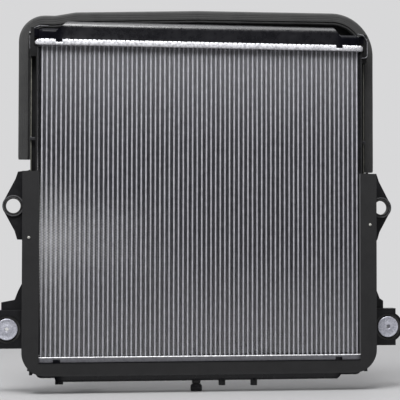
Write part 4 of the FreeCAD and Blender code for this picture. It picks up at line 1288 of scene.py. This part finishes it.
@dataclass
class Drain:
    """The screw plug below the lower tank, with its ring."""

    x: float = -9.0
    y: float = 9.5
    head_z: float = -114.0
    knurls: int = 24
    knurl_depth: float = 0.02
    wing_half: float = 11.9
    wing_thick: float = 3.0
    squareness: float = 2 / 6
    ring_radius: float = 6.55
    ring_section: tuple[float, float] = (1.48, 0.93)

    def knurl(self, angle: Array, height: Array) -> Array:
        """The factor on the radius that cuts rounded grooves into the collar's rim."""
        on_rim = (height > 0.2) & (height < 2.9)
        return 1 - self.knurl_depth * (0.5 + 0.5 * np.cos(self.knurls * angle)) * on_rim

    def wings(self) -> Array:
        """The wings: ribbed rounded oblongs, whose corners are squared by a power of sine and cosine."""
        angle = round_angles(64)
        drop = np.array([2.6, 4.0, 7.0, 10.0, 12.0, 13.6, 14.6, 15.0])
        size = np.array([0.94, 0.98, 1.0, 1.0, 1.0, 0.985, 0.95, 0.88])[:, None]
        across, thick = (
            np.sign(wave) * np.abs(wave) ** self.squareness for wave in (np.cos(angle), np.sin(angle)))
        ribs = 1 - 0.12 * (0.5 + 0.5 * np.cos(across * 14))
        rings = np.empty((len(drop), len(angle), 3))
        rings[..., 0] = self.x + self.wing_half * across[None] * size
        rings[..., 1] = self.y + self.wing_thick * (thick * ribs)[None] * size ** 2
        rings[..., 2] = self.head_z - drop[:, None]
        return rings * MM

    def build(self, finishes: Finishes) -> None:
        """Build the plug and ring."""
        centre = (self.x, self.y, self.head_z)
        stem = [
            (0.01, -18.0), (4.2, -18.0), (5.0, -17.2), (5.0, 0.0), (9.4, 0.0), (10.0, 0.5), (10.0, 2.5),
            (9.4, 3.0), (6.6, 3.4), (5.6, 6.0), (0.01, 6.0)]
        shells = Shells()
        shells.add(turned(stem, centre, Axis.DOWN, 96, self.knurl), closed=True)
        shells.add(self.wings())
        dress(shells.build("winged_drain_plug", 40), finishes.plug, ["drain_plug"], Body.PLUG)
        turn = round_angles(24)
        wide, high = self.ring_section
        section = np.stack([self.ring_radius + wide * np.cos(turn), -1.0 + high * np.sin(turn)], axis=-1)
        ring = shaped("drain_sealing_ring", [turned(section, centre, Axis.DOWN)], True)
        dress(ring, finishes.rubber, ["drain_o_ring"], Body.RING)


# --- studio -----------------------------------------------------------------------------------


@dataclass
class Studio:
    """The floor, lights and camera."""

    floor_z: float = -0.1295
    floor_radius: float = 3.0
    floor_rings: int = 23
    floor_around: int = 72
    fade_from: float = 0.9
    fade_to: float = 2.4
    eye: tuple[float, float, float] = (-0.345, -2.5835, 0.18285)
    yaw: float = 7.54
    pitch: float = 1.76
    roll: float = 0.10
    lens: float = 114.1
    sensor: float = 36.0
    front_dim: float = 0.25

    def floor(self) -> None:
        """A round pale floor that fades out with distance from the cooler."""
        count, around = self.floor_rings, self.floor_around
        radius = np.linspace(0.0, self.floor_radius, count + 1)[1:, None]
        angle = round_angles(around)
        grid = np.stack([
            radius * np.cos(angle), radius * np.sin(angle), np.full((count, around), self.floor_z)], -1)
        points = np.concatenate([grid.reshape(-1, 3), [[0, 0, self.floor_z]]])
        index = np.arange(count * around).reshape(count, around)
        fan = np.stack([index[0], np.roll(index[0], -1), np.full(around, count * around)], -1)
        mesh = bpy.data.meshes.new("studio_floor")
        mesh.from_pydata(points.tolist(), [], wall_quads(index, False).tolist() + fan.tolist())
        floor = add_object("studio_floor", mesh)
        paint = Recipe("pale_painted_floor")
        feed(paint.tree, paint.shader, {
            "Base Color": linear("#868687"), "Roughness": 0.85, "Specular IOR Level": 0.2})
        far = add_node(paint.tree, "ShaderNodeVectorMath", {0: paint.place}, operation="LENGTH")
        fade = paint.span(far.outputs["Value"], self.fade_from, self.fade_to, smooth=True)
        clear = add_node(paint.tree, "ShaderNodeBsdfTransparent")
        mixed = add_node(paint.tree, "ShaderNodeMixShader", {
            0: fade, 1: paint.shader.outputs[0], 2: clear.outputs[0]})
        feed(paint.tree, paint.tree.nodes["Material Output"], {"Surface": mixed.outputs[0]})
        mesh.materials.append(paint.material)

    def light(self, name: str, place: Sequence[float], aim: Sequence[float], size: tuple[float, float],
              power: float) -> None:
        """A soft rectangular light.

        Args:
            name: the light's name.
            place: where it is, in metres.
            aim: the point it faces.
            size: its width and height.
            power: watts.
        """
        data = bpy.data.lights.new(name, "AREA")
        data.shape = "RECTANGLE"
        data.size, data.size_y = size
        data.energy = power
        lamp = add_object(name, data)
        lamp.location = place
        lamp.rotation_euler = (Vector(aim) - Vector(place)).to_track_quat("-Z", "Y").to_euler()

    def camera(self) -> None:
        """The camera, turned by yaw about the upright axis, then raised by pitch, then rolled."""
        yaw, pitch, roll = (math.radians(v) for v in (self.yaw, self.pitch, self.roll))
        ahead = Vector((math.sin(yaw) * math.cos(pitch), math.cos(yaw) * math.cos(pitch), math.sin(pitch)))
        level = Vector((math.cos(yaw), -math.sin(yaw), 0.0))
        upright = level.cross(ahead)
        right = level * math.cos(roll) + upright * math.sin(roll)
        above = right.cross(ahead)
        data = bpy.data.cameras.new("studio_camera")
        data.lens = self.lens
        data.sensor_width = self.sensor
        data.clip_end = 100.0
        lens = add_object("studio_camera", data)
        turn = Matrix((right, above, -ahead)).transposed().to_4x4()
        lens.matrix_world = Matrix.Translation(Vector(self.eye)) @ turn
        bpy.context.scene.camera = lens

    def build(self) -> None:
        """Set the studio up."""
        scene = bpy.context.scene
        scene.view_settings.view_transform = "Standard"
        world = bpy.data.worlds.new("studio_world")
        world.use_nodes = True
        tree = world.node_tree
        # the room is pale behind the cooler and dim in front of it
        ray = add_node(tree, "ShaderNodeTexCoord").outputs["Generated"]
        parts = add_node(tree, "ShaderNodeSeparateXYZ", {0: ray})
        depth = add_node(tree, "ShaderNodeMapRange", {
            "Value": parts.outputs["Y"], "From Min": -0.55, "From Max": 0.55, "To Min": self.front_dim},
            interpolation_type="SMOOTHSTEP")
        feed(tree, tree.nodes["Background"], {
            "Color": linear("#D8D8D9"), "Strength": depth.outputs["Result"]})
        scene.world = world
        self.floor()
        self.light("top_softbox", (0.0, -0.2, 2.2), (0.0, 0.0, 0.3), (2.4, 1.4), 55.0)
        self.light("front_softbox", (-0.7, -1.5, 3.0), (0.0, 0.0, 0.2), (2.0, 1.2), 190.0)
        self.light("back_softbox", (1.2, 2.4, 1.6), (0.0, 0.0, 0.3), (1.6, 1.6), 14.0)
        self.camera()


def main() -> None:
    """Build every sub-assembly in order."""
    logging.basicConfig(level=logging.INFO, format="%(message)s")
    Studio().build()
    finishes = Finishes()
    for assembly in (
        Core(), CrimpBand(), Tanks(), SideFrames(), RearSeal(), FrontSeal(), Brackets(), Screws(), Drain(),
    ):
        assembly.build(finishes)
        LOG.info("%s done", type(assembly).__name__)


if __name__ == "__main__":
    main()
